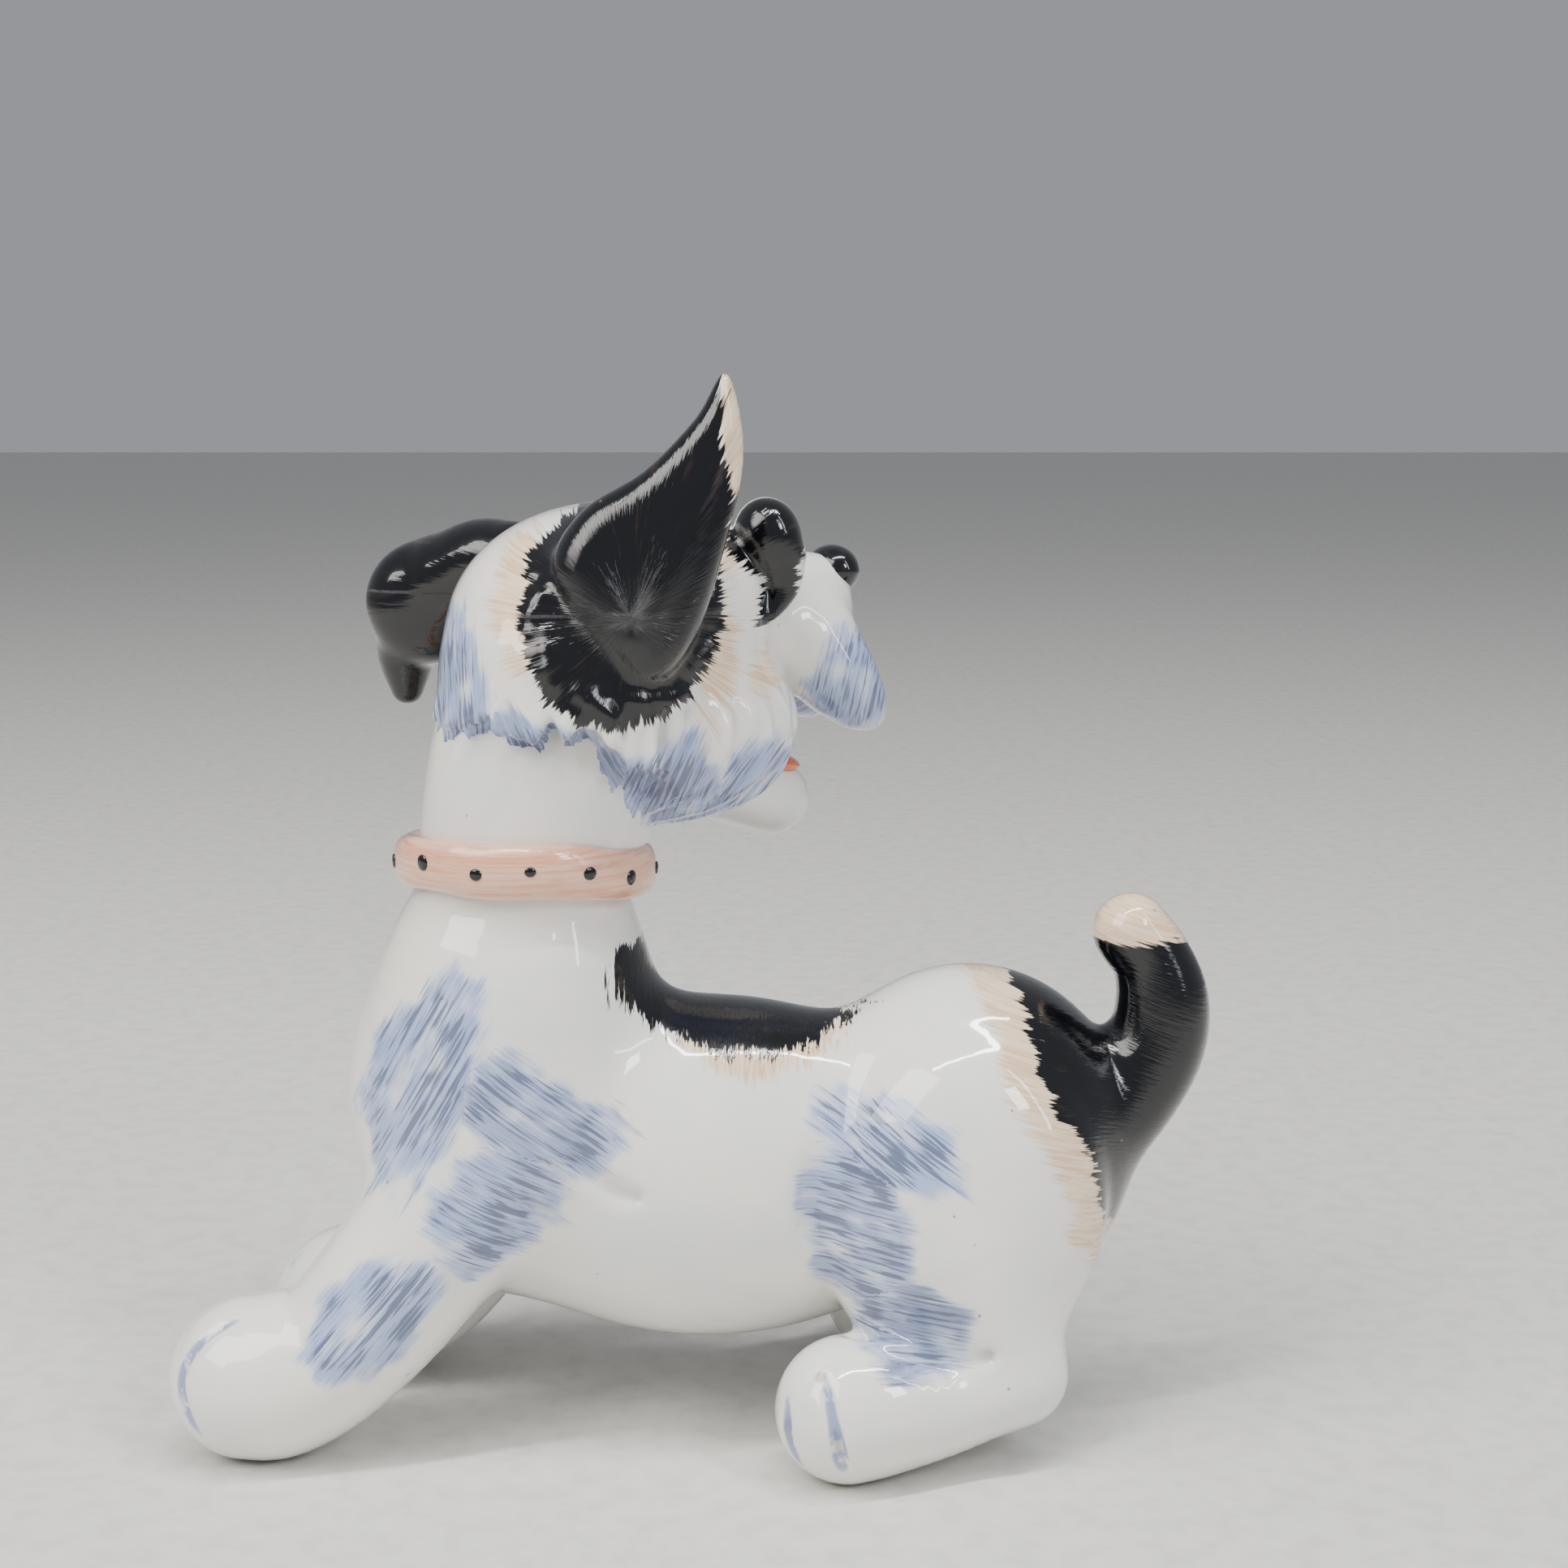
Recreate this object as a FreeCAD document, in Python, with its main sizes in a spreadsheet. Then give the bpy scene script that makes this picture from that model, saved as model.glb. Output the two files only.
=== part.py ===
import FreeCAD, Part
import os
import Sketcher
from FreeCAD import Placement, Rotation, Vector

doc = FreeCAD.newDocument("ceramic_dog")
sheet = doc.addObject("Spreadsheet::Sheet", "sizes")
sheetRow = 1


def size(name, value):
    """One named cell: a number in millimetres or degrees, or a formula of other cells."""
    global sheetRow
    sheet.set(f"A{sheetRow}", name)
    sheet.set(f"B{sheetRow}", str(value))
    sheet.setAlias(f"B{sheetRow}", name)
    sheetRow += 1


def bind(item, **links):
    """Ties properties to cells: axis_z="cell" is Placement.Base.z, anything else is the property."""
    for name, rule in links.items():
        path = {"at_x": "Placement.Base.x", "at_y": "Placement.Base.y", "at_z": "Placement.Base.z",
                "turn": "Placement.Rotation.Angle"}.get(name, name)
        item.setExpression(path, rule)


# Overall stance. The body faces -X and its mid-plane is the sheet's zero; the origin offset puts
# the finished figure's footprint around the origin.
size("origin_x", -0.1)
size("origin_y", -1.85)
size("wall", 4)
size("drain_hole", 8)

# The barrel of the body, one row per station from breast to buttock: where it is along the body,
# how high its middle is, half its height and half its width.
barrel = {
    "breast": (-60.5, 64, 13.5, 11),
    "chest": (-55, 63, 22.5, 18.5),
    "shoulder": (-44, 60, 30, 25),
    "ribs": (-22, 55, 34, 28.5),
    "waist": (8, 48.5, 32.5, 28.5),
    "loin": (30, 50, 31.5, 28),
    "haunch": (50, 54.5, 32.5, 28),
    "rump": (68, 54, 26, 22.5),
    "buttock": (79, 52, 14, 12),
}
for name, (along, high, half_height, half_width) in barrel.items():
    size(f"{name}_along", along)
    size(f"{name}_high", high)
    size(f"{name}_half_height", half_height)
    size(f"{name}_half_width", half_width)
size("breast_tip_along", "=breast_along - 2.5")
size("buttock_tip_along", "=buttock_along + 4")

# The neck rises from inside the chest into the underside of the head.
neck = {
    "neck_root": (-36, 60, 24, 22),
    "neck_base": (-36, 80, 26, 23),
    "neck_low": (-35, 91, 22.5, 21),
    "neck_narrow": (-33.5, 100, 20.2, 19.6),
    "neck_collar": (-31.5, 109, 20.8, 20),
    "neck_top": (-28.5, 122, 22.5, 21.5),
    "neck_end": (-22, 136, 20.5, 19.5),
}
for name, (along, high, half_length, half_width) in neck.items():
    size(f"{name}_along", along)
    size(f"{name}_high", high)
    size(f"{name}_half_length", half_length)
    size(f"{name}_half_width", half_width)

# Collar: a rolled band round the neck, with raised enamel dots spaced round it.
size("collar_height", 10.5)
size("collar_high", 108.5)
size("collar_outer_radius", 24.2)
size("collar_inner_radius", "=neck_narrow_half_width - 4")
size("collar_reach", "=collar_outer_radius")
size("dot_radius", 1.15)
size("dot_sink", 0.5)
dotCount = 12

# Head, turned back over the shoulder. Its own axes: X out of the nose, Y to its left, Z up.
size("head_x", -15)
size("head_y", 8)
size("head_z", 148)
size("head_yaw", 30)
for name, value in {
    "skull_half_length": 30, "skull_half_width": 27, "skull_half_height": 23.5, "skull_lift": 1.5,
    "ruff_half_length": 32, "ruff_half_width": 31, "ruff_half_height": 17.5, "ruff_drop": 13.5,
    "throat_hole_radius": 9,
    "muzzle_out": 33, "muzzle_lift": 4, "muzzle_half_length": 20, "muzzle_half_width": 12.5,
    "muzzle_half_height": 12,
    "whisker_out": 43.5, "whisker_side": 7.5, "whisker_drop": 7.5, "whisker_half_length": 12,
    "whisker_half_width": 8.5, "whisker_half_height": 11.5,
    "nose_out": 50, "nose_lift": 12.5, "nose_half_length": 5.5, "nose_half_width": 6.5,
    "nose_half_height": 5,
    "jaw_out": 29, "jaw_drop": 30, "jaw_half_length": 15, "jaw_half_width": 9, "jaw_half_height": 6.5,
    "jaw_dip": 18,
    "tongue_out": 29.5, "tongue_drop": 24, "tongue_half_length": 12.5, "tongue_half_width": 6,
    "tongue_half_height": 3,
    "brow_out": 24, "brow_side": 15, "brow_lift": 16.5, "brow_half_length": 7, "brow_half_width": 7.5,
    "brow_half_height": 10,
    "eye_out": 27, "eye_side": 12, "eye_lift": 11.5, "eye_radius": 6,
}.items():
    size(name, value)

# Ears, tail and legs are lofts through rings along their own centre lines.
# Erect right ear, in the head's axes: out, left, up, half the length and width, lean of the ring.
ear_right = {
    "ear_root": (-9, -13, -1, 14, 9, 3),
    "ear_low": (-9, -24, 11, 14.5, 8.5, 8),
    "ear_mid": (-3, -27, 25, 12, 7, 24),
    "ear_high": (5, -28, 37, 6.5, 4.5, 30),
    "ear_end": (9, -28.5, 45, 3, 2.4, 25),
    "ear_tip": (10, -28.5, 48, 1.4, 1.3, 20),
}
for name, (out, left, up, half_length, half_width, lean) in ear_right.items():
    for what, value in zip(("out", "left", "up", "half_length", "half_width"),
                           (out, left, up, half_length, half_width)):
        size(f"{name}_{what}", value)
# Folded left ear: it leaves the skull sideways, folds over and hangs.
ear_left = {
    "flap_root": (-9, 18, 13, 10, 7, 70),
    "flap_out": (-16, 29, 16, 11, 7, 75),
    "flap_fold": (-21, 38, 12, 11.5, 6.5, 120),
    "flap_hang": (-22, 42, 1, 9.5, 5.5, 165),
    "flap_low": (-22, 42.5, -9, 5.5, 4, 180),
    "flap_tip": (-22, 42.5, -13, 2.5, 2.4, 180),
}
for name, (out, left, up, half_length, half_width, lean) in ear_left.items():
    for what, value in zip(("out", "left", "up", "half_length", "half_width"),
                           (out, left, up, half_length, half_width)):
        size(f"{name}_{what}", value)

# Tail, in the body's mid-plane: along, up, radius, slope.
tail = {
    "tail_root": (66, 54, 11, 31),
    "tail_base": (79, 62.5, 10.5, 38),
    "tail_bend": (86, 71.5, 9.8, 65),
    "tail_rise": (87.6, 80.5, 8.8, 92),
    "tail_curl": (85.5, 88.5, 7.6, 112),
    "tail_end": (81.5, 94.2, 6.4, 130),
}
for name, (along, up, radius, slope) in tail.items():
    size(f"{name}_along", along)
    size(f"{name}_up", up)
    size(f"{name}_radius", radius)
size("tail_ball_radius", 7.2)

# Legs. The side cells are how far a leg's middle is from the body's mid-plane.
size("forepaw_side", 19)
size("right_foreleg_setback", 14)
size("right_hind_leg_setback", 10)
size("hind_leg_side", 21)
foreleg = {
    "upper_arm": (-33, 59, 15, 14.5, 230),
    "elbow": (-46, 44, 16.5, 15.5, 230),
    "forearm": (-58, 30, 18, 15, 228),
    "wrist": (-73, 17.5, 19, 13.5, 210),
}
for name, (along, up, side, radius, slope) in foreleg.items():
    size(f"{name}_along", along)
    size(f"{name}_up", up)
    size(f"{name}_side", side)
    size(f"{name}_radius", radius)
for name, value in {
    "forepaw_along": -80.5, "forepaw_half_length": 16, "forepaw_half_width": 13, "forepaw_height": 29.5,
    "thigh_along": 49, "thigh_up": 50, "thigh_half_length": 25, "thigh_half_width": 12.5,
    "thigh_half_height": 29,
    "shin_along": 53, "shin_up": 29, "shin_half_length": 15, "shin_half_width": 11,
    "shin_half_height": 22,
    "foot_splay": 8,
    "heel_along": 57, "heel_up": 14.5, "heel_radius": 8.5, "heel_ring_radius": 7.6,
    "arch_along": 44, "arch_up": 12.5, "arch_radius": 11,
    "hind_paw_along": 28.5, "hind_paw_half_length": 14.5, "hind_paw_half_width": 13,
    "hind_paw_height": 25,
    "sole_sink": 1.4, "toe_groove_width": 1.2, "toe_groove_depth": 1.2, "toe_spread": 4.6,
}.items():
    size(name, value)
doc.recompute()


def ellipsoid(name, out, left, up, half_length, half_width, half_height):
    """A rounded clay volume, sized and placed by cells."""
    item = doc.addObject("Part::Ellipsoid", name)
    item.Angle1, item.Angle2, item.Angle3 = -90, 90, 360
    item.Placement.Rotation = Rotation(Vector(0, 0, 1), 180)
    bind(item, Radius1=half_height, Radius2=half_length, Radius3=half_width, at_x=out, at_y=left, at_z=up)
    return item


def ring(name, out, left, up, major, minor, turn):
    """An elliptical cross-section for a loft. The turn places its normal and its long axis."""
    item = doc.addObject("Part::Ellipse", name)
    item.Placement = Placement(Vector(), turn)
    bind(item, MajorRadius=major, MinorRadius=minor, at_x=out, at_y=left, at_z=up)
    return item


def point(name, out, left, up):
    item = doc.addObject("Part::Vertex", name)
    bind(item, X=out, Y=left, Z=up)
    return item


def loft(name, sections):
    item = doc.addObject("Part::Loft", name)
    item.Sections = sections
    item.Solid, item.Ruled, item.Closed = True, False, False
    return item


def joined(name, items):
    item = doc.addObject("Part::MultiFuse", name)
    item.Shapes = items
    item.Refine = False
    return item


def cut(name, base, *tools):
    """Takes each tool away from the base in turn. The last cut carries the name."""
    for number, tool in enumerate(tools):
        item = doc.addObject("Part::Cut", name if number == len(tools) - 1 else f"{name}_{number}")
        item.Base, item.Tool = base, tool
        base = item
    return base


def place_head(item):
    item.Placement = Placement(Vector(), Rotation(Vector(0, 0, 1), 30))
    bind(item, at_x="sizes.head_x + sizes.origin_x", at_y="sizes.head_y + sizes.origin_y",
         at_z="sizes.head_z", turn="sizes.head_yaw")


def place_body(item):
    bind(item, at_x="sizes.origin_x", at_y="sizes.origin_y")


alongX = Rotation(Vector(0, 1, 0), 90)
alongZ = Rotation()


def heading(angle):
    """A ring whose normal lies in the XZ plane at this angle from +X, long axis in that plane."""
    return Rotation(Vector(0, 1, 0), 90 - angle)


# Body and neck, outside and inside.
def barrel_loft(name, thin):
    rings = [point(f"{name}_front", f"sizes.breast_tip_along + {thin}", "0", "sizes.breast_high")]
    for part in barrel:
        shift = {"breast": f" + {thin}", "buttock": f" - {thin}"}.get(part, "")
        rings.append(ring(f"{name}_{part}", f"sizes.{part}_along{shift}", "0", f"sizes.{part}_high",
                          f"sizes.{part}_half_height - {thin}", f"sizes.{part}_half_width - {thin}",
                          alongX))
    rings.append(point(f"{name}_back", f"sizes.buttock_tip_along - {thin}", "0", "sizes.buttock_high"))
    return loft(name, rings)


def neck_loft(name, thin):
    rings = []
    for part in neck:
        rings.append(ring(f"{name}_{part}", f"sizes.{part}_along", "0", f"sizes.{part}_high",
                          f"sizes.{part}_half_length - {thin}", f"sizes.{part}_half_width - {thin}",
                          alongZ))
    return loft(name, rings)


barrelOutside = barrel_loft("barrel_outside", "0")
barrelInside = barrel_loft("barrel_inside", "sizes.wall")
neckOutside = neck_loft("neck_outside", "0")
neckInside = neck_loft("neck_inside", "sizes.wall")
bodyOutside = joined("body_outside", [barrelOutside, neckOutside])
bodyInside = joined("body_inside", [barrelInside, neckInside])

# Head volumes in the head's own axes.
skull = ellipsoid("skull", "0", "0", "sizes.skull_lift", "sizes.skull_half_length",
                  "sizes.skull_half_width", "sizes.skull_half_height")
ruff = ellipsoid("ruff", "0", "0", "-sizes.ruff_drop", "sizes.ruff_half_length",
                 "sizes.ruff_half_width", "sizes.ruff_half_height")
skullInside = ellipsoid("skull_inside", "0", "0", "sizes.skull_lift",
                        "sizes.skull_half_length - sizes.wall", "sizes.skull_half_width - sizes.wall",
                        "sizes.skull_half_height - sizes.wall")
ruffInside = ellipsoid("ruff_inside", "0", "0", "-sizes.ruff_drop",
                       "sizes.ruff_half_length - sizes.wall", "sizes.ruff_half_width - sizes.wall",
                       "sizes.ruff_half_height - sizes.wall")
headOutside = joined("head_outside", [skull, ruff])
headInside = joined("head_inside", [skullInside, ruffInside])

# The throat hole joins the hollow of the head to the hollow of the neck, so that air can leave
# both while the figure dries.
throat = doc.addObject("Part::Cylinder", "throat_hole")
bind(throat, Radius="sizes.throat_hole_radius", Height="2 * sizes.ruff_half_height",
     at_x="cos(sizes.head_yaw) * (sizes.neck_top_along - sizes.head_x)"
          " - sin(sizes.head_yaw) * sizes.head_y",
     at_y="-sin(sizes.head_yaw) * (sizes.neck_top_along - sizes.head_x)"
          " - cos(sizes.head_yaw) * sizes.head_y",
     at_z="-sizes.ruff_drop - 2 * sizes.ruff_half_height")

headCasting = cut("head_casting", headOutside, headInside, throat)
place_head(headCasting)

headOnBody = doc.addObject("Part::Compound", "head_on_body")
headOnBody.Links = [headOutside]
headOnBody.Placement = Placement(Vector(), Rotation(Vector(0, 0, 1), 30))
bind(headOnBody, at_x="sizes.head_x", at_y="sizes.head_y", at_z="sizes.head_z", turn="sizes.head_yaw")

drain = doc.addObject("Part::Cylinder", "drain")
bind(drain, Radius="sizes.drain_hole / 2", Height="2 * sizes.wall",
     at_x="(sizes.ribs_along + sizes.waist_along) / 2",
     at_z="sizes.waist_high - sizes.waist_half_height - sizes.wall / 2")
bodyCasting = cut("body_casting", bodyOutside, bodyInside, drain, headOnBody)
place_body(bodyCasting)

# Collar band: a half-round section turned about the neck, then fitted to the neck's outside.
bandBody = doc.addObject("PartDesign::Body", "collar_turning")
section = bandBody.newObject("Sketcher::SketchObject", "collar_section")
section.AttachmentSupport = [(next(f for f in bandBody.Origin.OriginFeatures
                                   if f.Role == "XZ_Plane"), "")]
section.MapMode = "FlatFace"
inner, outer = sheet.get("collar_inner_radius"), sheet.get("collar_outer_radius")
half = sheet.get("collar_height") / 2
shoulder = outer - 0.6 * half
section.addGeometry(Part.LineSegment(Vector(shoulder, half, 0), Vector(inner, half, 0)))
section.addGeometry(Part.LineSegment(Vector(inner, half, 0), Vector(inner, -half, 0)))
section.addGeometry(Part.LineSegment(Vector(inner, -half, 0), Vector(shoulder, -half, 0)))
section.addGeometry(Part.Arc(Vector(shoulder, -half, 0), Vector(outer, 0, 0),
                             Vector(shoulder, half, 0)))
for first, end, second, start in ((0, 2, 1, 1), (1, 2, 2, 1), (2, 2, 3, 1), (3, 2, 0, 1)):
    section.addConstraint(Sketcher.Constraint("Coincident", first, end, second, start))
section.addConstraint(Sketcher.Constraint("Horizontal", 0))
section.addConstraint(Sketcher.Constraint("Symmetric", 1, 1, 1, 2, -1))
section.addConstraint(Sketcher.Constraint("Symmetric", 3, 1, 3, 2, -1))
for name, constraint, rule in (
        ("inner", Sketcher.Constraint("DistanceX", -1, 1, 1, 1, inner), "sizes.collar_inner_radius"),
        ("height", Sketcher.Constraint("DistanceY", 1, 2, 1, 1, 2 * half), "sizes.collar_height"),
        ("shoulder", Sketcher.Constraint("DistanceX", -1, 1, 0, 1, shoulder),
         "sizes.collar_outer_radius - 0.3 * sizes.collar_height"),
        ("bulge", Sketcher.Constraint("Radius", 3, 1.1 * half), "0.55 * sizes.collar_height")):
    index = section.addConstraint(constraint)
    section.renameConstraint(index, name)
    section.setExpression(f"Constraints.{name}", rule)
turning = bandBody.newObject("PartDesign::Revolution", "collar_revolution")
turning.Profile = section
turning.ReferenceAxis = (section, ["V_Axis"])
turning.Angle = 360
bandBody.Tip = turning
bind(bandBody, at_x="sizes.neck_collar_along", at_z="sizes.collar_high")
collarBand = cut("collar_band", bandBody, neckOutside)
place_body(collarBand)

# Enamel dots, evenly spaced round the band and standing a little proud of it.
dots = []
for number in range(dotCount):
    dot = doc.addObject("Part::Sphere", f"dot_{number}")
    angle = 360 / dotCount * (number + 0.5)
    bind(dot, Radius="sizes.dot_radius",
         at_x=f"sizes.neck_collar_along + (sizes.collar_reach - sizes.dot_sink) * cos({angle}°)",
         at_y=f"(sizes.collar_reach - sizes.dot_sink) * sin({angle}°)",
         at_z="sizes.collar_high")
    dots.append(dot)
allDots = doc.addObject("Part::Compound", "all_dots")
allDots.Links = dots
collarDots = cut("collar_dots", allDots, bandBody)
place_body(collarDots)

# Face, in the head's own axes. Each applied piece is fitted to what it is pressed onto.
muzzleParts = [ellipsoid("muzzle_block", "sizes.muzzle_out", "0", "sizes.muzzle_lift",
                         "sizes.muzzle_half_length", "sizes.muzzle_half_width",
                         "sizes.muzzle_half_height")]
for name, sign in (("left", ""), ("right", "-")):
    muzzleParts.append(ellipsoid(f"whiskers_{name}", "sizes.whisker_out", f"{sign}sizes.whisker_side",
                                 "-sizes.whisker_drop", "sizes.whisker_half_length",
                                 "sizes.whisker_half_width", "sizes.whisker_half_height"))
muzzleOutside = joined("muzzle_outside", muzzleParts)
muzzle = cut("muzzle", muzzleOutside, headOutside)
place_head(muzzle)

nose = cut("nose_button", ellipsoid("nose_ball", "sizes.nose_out", "0", "sizes.nose_lift",
                                    "sizes.nose_half_length", "sizes.nose_half_width",
                                    "sizes.nose_half_height"), muzzleOutside)
place_head(nose)

jawOutside = ellipsoid("jaw_outside", "sizes.jaw_out", "0", "-sizes.jaw_drop",
                       "sizes.jaw_half_length", "sizes.jaw_half_width", "sizes.jaw_half_height")
jawOutside.Placement.Rotation = Rotation(Vector(0, 1, 0), 18)
bind(jawOutside, turn="sizes.jaw_dip")
jaw = cut("lower_jaw", jawOutside, headOutside)
place_head(jaw)

tongueOutside = ellipsoid("tongue_outside", "sizes.tongue_out", "0", "-sizes.tongue_drop",
                          "sizes.tongue_half_length", "sizes.tongue_half_width",
                          "sizes.tongue_half_height")
tongueOutside.Placement.Rotation = Rotation(Vector(0, 1, 0), 18)
bind(tongueOutside, turn="sizes.jaw_dip")
tongue = cut("tongue", tongueOutside, jawOutside, headOutside)
place_head(tongue)

for side, sign in (("left", ""), ("right", "-")):
    browOutside = ellipsoid(f"brow_outside_{side}", "sizes.brow_out", f"{sign}sizes.brow_side",
                            "sizes.brow_lift", "sizes.brow_half_length", "sizes.brow_half_width",
                            "sizes.brow_half_height")
    place_head(cut(f"{side}_brow", browOutside, headOutside, muzzleOutside))
    eyeball = doc.addObject("Part::Sphere", f"eyeball_{side}")
    bind(eyeball, Radius="sizes.eye_radius", at_x="sizes.eye_out", at_y=f"{sign}sizes.eye_side",
         at_z="sizes.eye_lift")
    place_head(cut(f"{side}_eye", eyeball, headOutside, muzzleOutside, browOutside))


# Ears, lofted along their centre lines and fitted to the skull.
def ear_rings(stations, axis):
    rings = []
    for part, values in stations.items():
        rings.append(ring(f"ring_{part}", f"sizes.{part}_out", f"sizes.{part}_left", f"sizes.{part}_up",
                          f"sizes.{part}_half_length", f"sizes.{part}_half_width",
                          Rotation(axis, values[-1])))
    return rings


def ear(name, stations, axis):
    tip = list(stations)[-1]
    ball = doc.addObject("Part::Sphere", f"{tip}_ball")
    bind(ball, Radius=f"1.15 * sizes.{tip}_half_length", at_x=f"sizes.{tip}_out", at_y=f"sizes.{tip}_left",
         at_z=f"sizes.{tip}_up")
    outside = joined(f"{name}_outside", [loft(f"{name}_sweep", ear_rings(stations, axis)), ball])
    place_head(cut(name, outside, headOutside))


ear("right_ear", ear_right, Vector(0, 1, 0))
ear("left_ear", ear_left, Vector(-1, 0, 0))

# Tail: rings in the mid-plane, closed by a ball, fitted to the rump.
tailRings = [ring(f"ring_{part}", f"sizes.{part}_along", "0", f"sizes.{part}_up",
                  f"sizes.{part}_radius", f"sizes.{part}_radius", heading(values[-1]))
             for part, values in tail.items()]
tailBall = doc.addObject("Part::Sphere", "tail_ball")
bind(tailBall, Radius="sizes.tail_ball_radius", at_x="sizes.tail_end_along", at_z="sizes.tail_end_up")
tailOutside = joined("tail_outside", [loft("tail_sweep", tailRings), tailBall])
place_body(cut("tail", tailOutside, barrelOutside))

# The table the figure stands on: what the paws would push below it is wiped flat.
table = doc.addObject("Part::Box", "table")
table.Length, table.Width, table.Height = 400, 200, 50
table.Placement.Base = Vector(-200, -100, -50)


def toe_grooves(name, along, side, half_length, high):
    """Two upright slots pressed into the front of a paw, between its three toes."""
    slots = []
    for number, sign in enumerate(("-", "+")):
        slot = doc.addObject("Part::Cylinder", f"{name}_groove_{number}")
        slot.Placement = Placement(Vector(), Rotation(Vector(1, 0, 0), 90))
        bind(slot, Radius=f"{half_length}", Height="sizes.toe_groove_width",
             at_x=f"{along} - 2 * {half_length} + sizes.toe_groove_depth + 0.8",
             at_y=f"{side} {sign} sizes.toe_spread + sizes.toe_groove_width / 2", at_z=high)
        slots.append(slot)
    return slots


# Forelegs, stretched forward. The right one stands a little further back than the left.
for side, sign, back in (("left", "-", ""), ("right", "", " + sizes.right_foreleg_setback")):
    armRings = [ring(f"ring_{part}_{side}", f"sizes.{part}_along{back}", f"{sign}sizes.{part}_side",
                     f"sizes.{part}_up", f"sizes.{part}_radius", f"sizes.{part}_radius",
                     heading(values[-1]))
                for part, values in foreleg.items()]
    pawAlong = f"(sizes.forepaw_along{back})"
    forepaw = ellipsoid(f"forepaw_{side}", pawAlong, f"{sign}sizes.forepaw_side",
                        "(sizes.forepaw_height - sizes.sole_sink) / 2", "sizes.forepaw_half_length",
                        "sizes.forepaw_half_width", "(sizes.forepaw_height + sizes.sole_sink) / 2")
    outside = joined(f"foreleg_outside_{side}", [loft(f"arm_{side}", armRings), forepaw])
    grooves = toe_grooves(f"forepaw_{side}", pawAlong, f"{sign}sizes.forepaw_side",
                          "sizes.forepaw_half_length", "sizes.forepaw_height / 2")
    place_body(cut(f"{side}_foreleg", outside, bodyOutside, table, *grooves))

# Hind legs, folded under the haunches: thigh, shin, then heel to paw.
for side, sign, back in (("left", "-", ""), ("right", "", " + sizes.right_hind_leg_setback")):
    halfBack = f"{back} / 2" if back else ""
    hip = f"{sign}sizes.hind_leg_side"
    pawSide = f"{sign}(sizes.hind_leg_side + sizes.foot_splay)"
    thigh = ellipsoid(f"thigh_{side}", "sizes.thigh_along", hip, "sizes.thigh_up",
                      "sizes.thigh_half_length", "sizes.thigh_half_width", "sizes.thigh_half_height")
    shin = ellipsoid(f"shin_{side}", f"sizes.shin_along{halfBack}", hip, "sizes.shin_up",
                     "sizes.shin_half_length", "sizes.shin_half_width",
                     "sizes.shin_half_height")
    pawAlong = f"(sizes.hind_paw_along{back})"
    hindPaw = ellipsoid(f"hind_paw_{side}", pawAlong, pawSide,
                        "(sizes.hind_paw_height - sizes.sole_sink) / 2", "sizes.hind_paw_half_length",
                        "sizes.hind_paw_half_width", "(sizes.hind_paw_height + sizes.sole_sink) / 2")
    heel = doc.addObject("Part::Sphere", f"heel_{side}")
    bind(heel, Radius="sizes.heel_radius", at_x=f"sizes.heel_along{halfBack}", at_y=hip,
         at_z="sizes.heel_up")
    footRings = [
        ring(f"ring_heel_{side}", f"sizes.heel_along{halfBack}", hip, "sizes.heel_up",
             "sizes.heel_ring_radius", "sizes.heel_ring_radius", heading(180)),
        ring(f"ring_arch_{side}", f"sizes.arch_along{back}",
             f"{sign}(sizes.hind_leg_side + sizes.foot_splay / 2)", "sizes.arch_up",
             "sizes.arch_radius", "sizes.arch_radius", heading(180)),
        ring(f"ring_paw_{side}", f"{pawAlong} + 3", f"{sign}(sizes.hind_leg_side + sizes.foot_splay - 0.7)",
             "sizes.hind_paw_height / 2 - 0.5", "sizes.hind_paw_height / 2 - 1.5",
             "sizes.hind_paw_height / 2 - 1.5", heading(180)),
    ]
    outside = joined(f"hind_leg_outside_{side}", [thigh, shin, heel, loft(f"foot_{side}", footRings),
                                                  hindPaw])
    grooves = toe_grooves(f"hind_paw_{side}", pawAlong, pawSide, "sizes.hind_paw_half_length",
                          "sizes.hind_paw_height / 2")
    place_body(cut(f"{side}_hind_leg", outside, bodyOutside, table, *grooves))

doc.recompute()
for item in doc.Objects:
    if "Invalid" in item.State or "Error" in item.State:
        raise RuntimeError(f"{item.Label} didn't recompute: {item.State}")

pieces = ["body_casting", "head_casting", "collar_band", "collar_dots", "muzzle", "nose_button",
          "lower_jaw", "tongue", "left_brow", "right_brow", "left_eye", "right_eye", "left_ear",
          "right_ear", "tail", "left_foreleg", "right_foreleg", "left_hind_leg", "right_hind_leg"]
os.makedirs("parts", exist_ok=True)
for name in pieces:
    shape = doc.getObject(name).Shape
    if shape.isNull() or not shape.isValid():
        raise RuntimeError(f"{name} has no valid shape")
    shape.exportStep(f"parts/{name}.step")
    box = shape.BoundBox
    print(f"{name:16s} solids {len(shape.Solids):2d}  x {box.XMin:6.1f} {box.XMax:6.1f}"
          f"  y {box.YMin:6.1f} {box.YMax:6.1f}  z {box.ZMin:6.1f} {box.ZMax:6.1f}")
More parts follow.
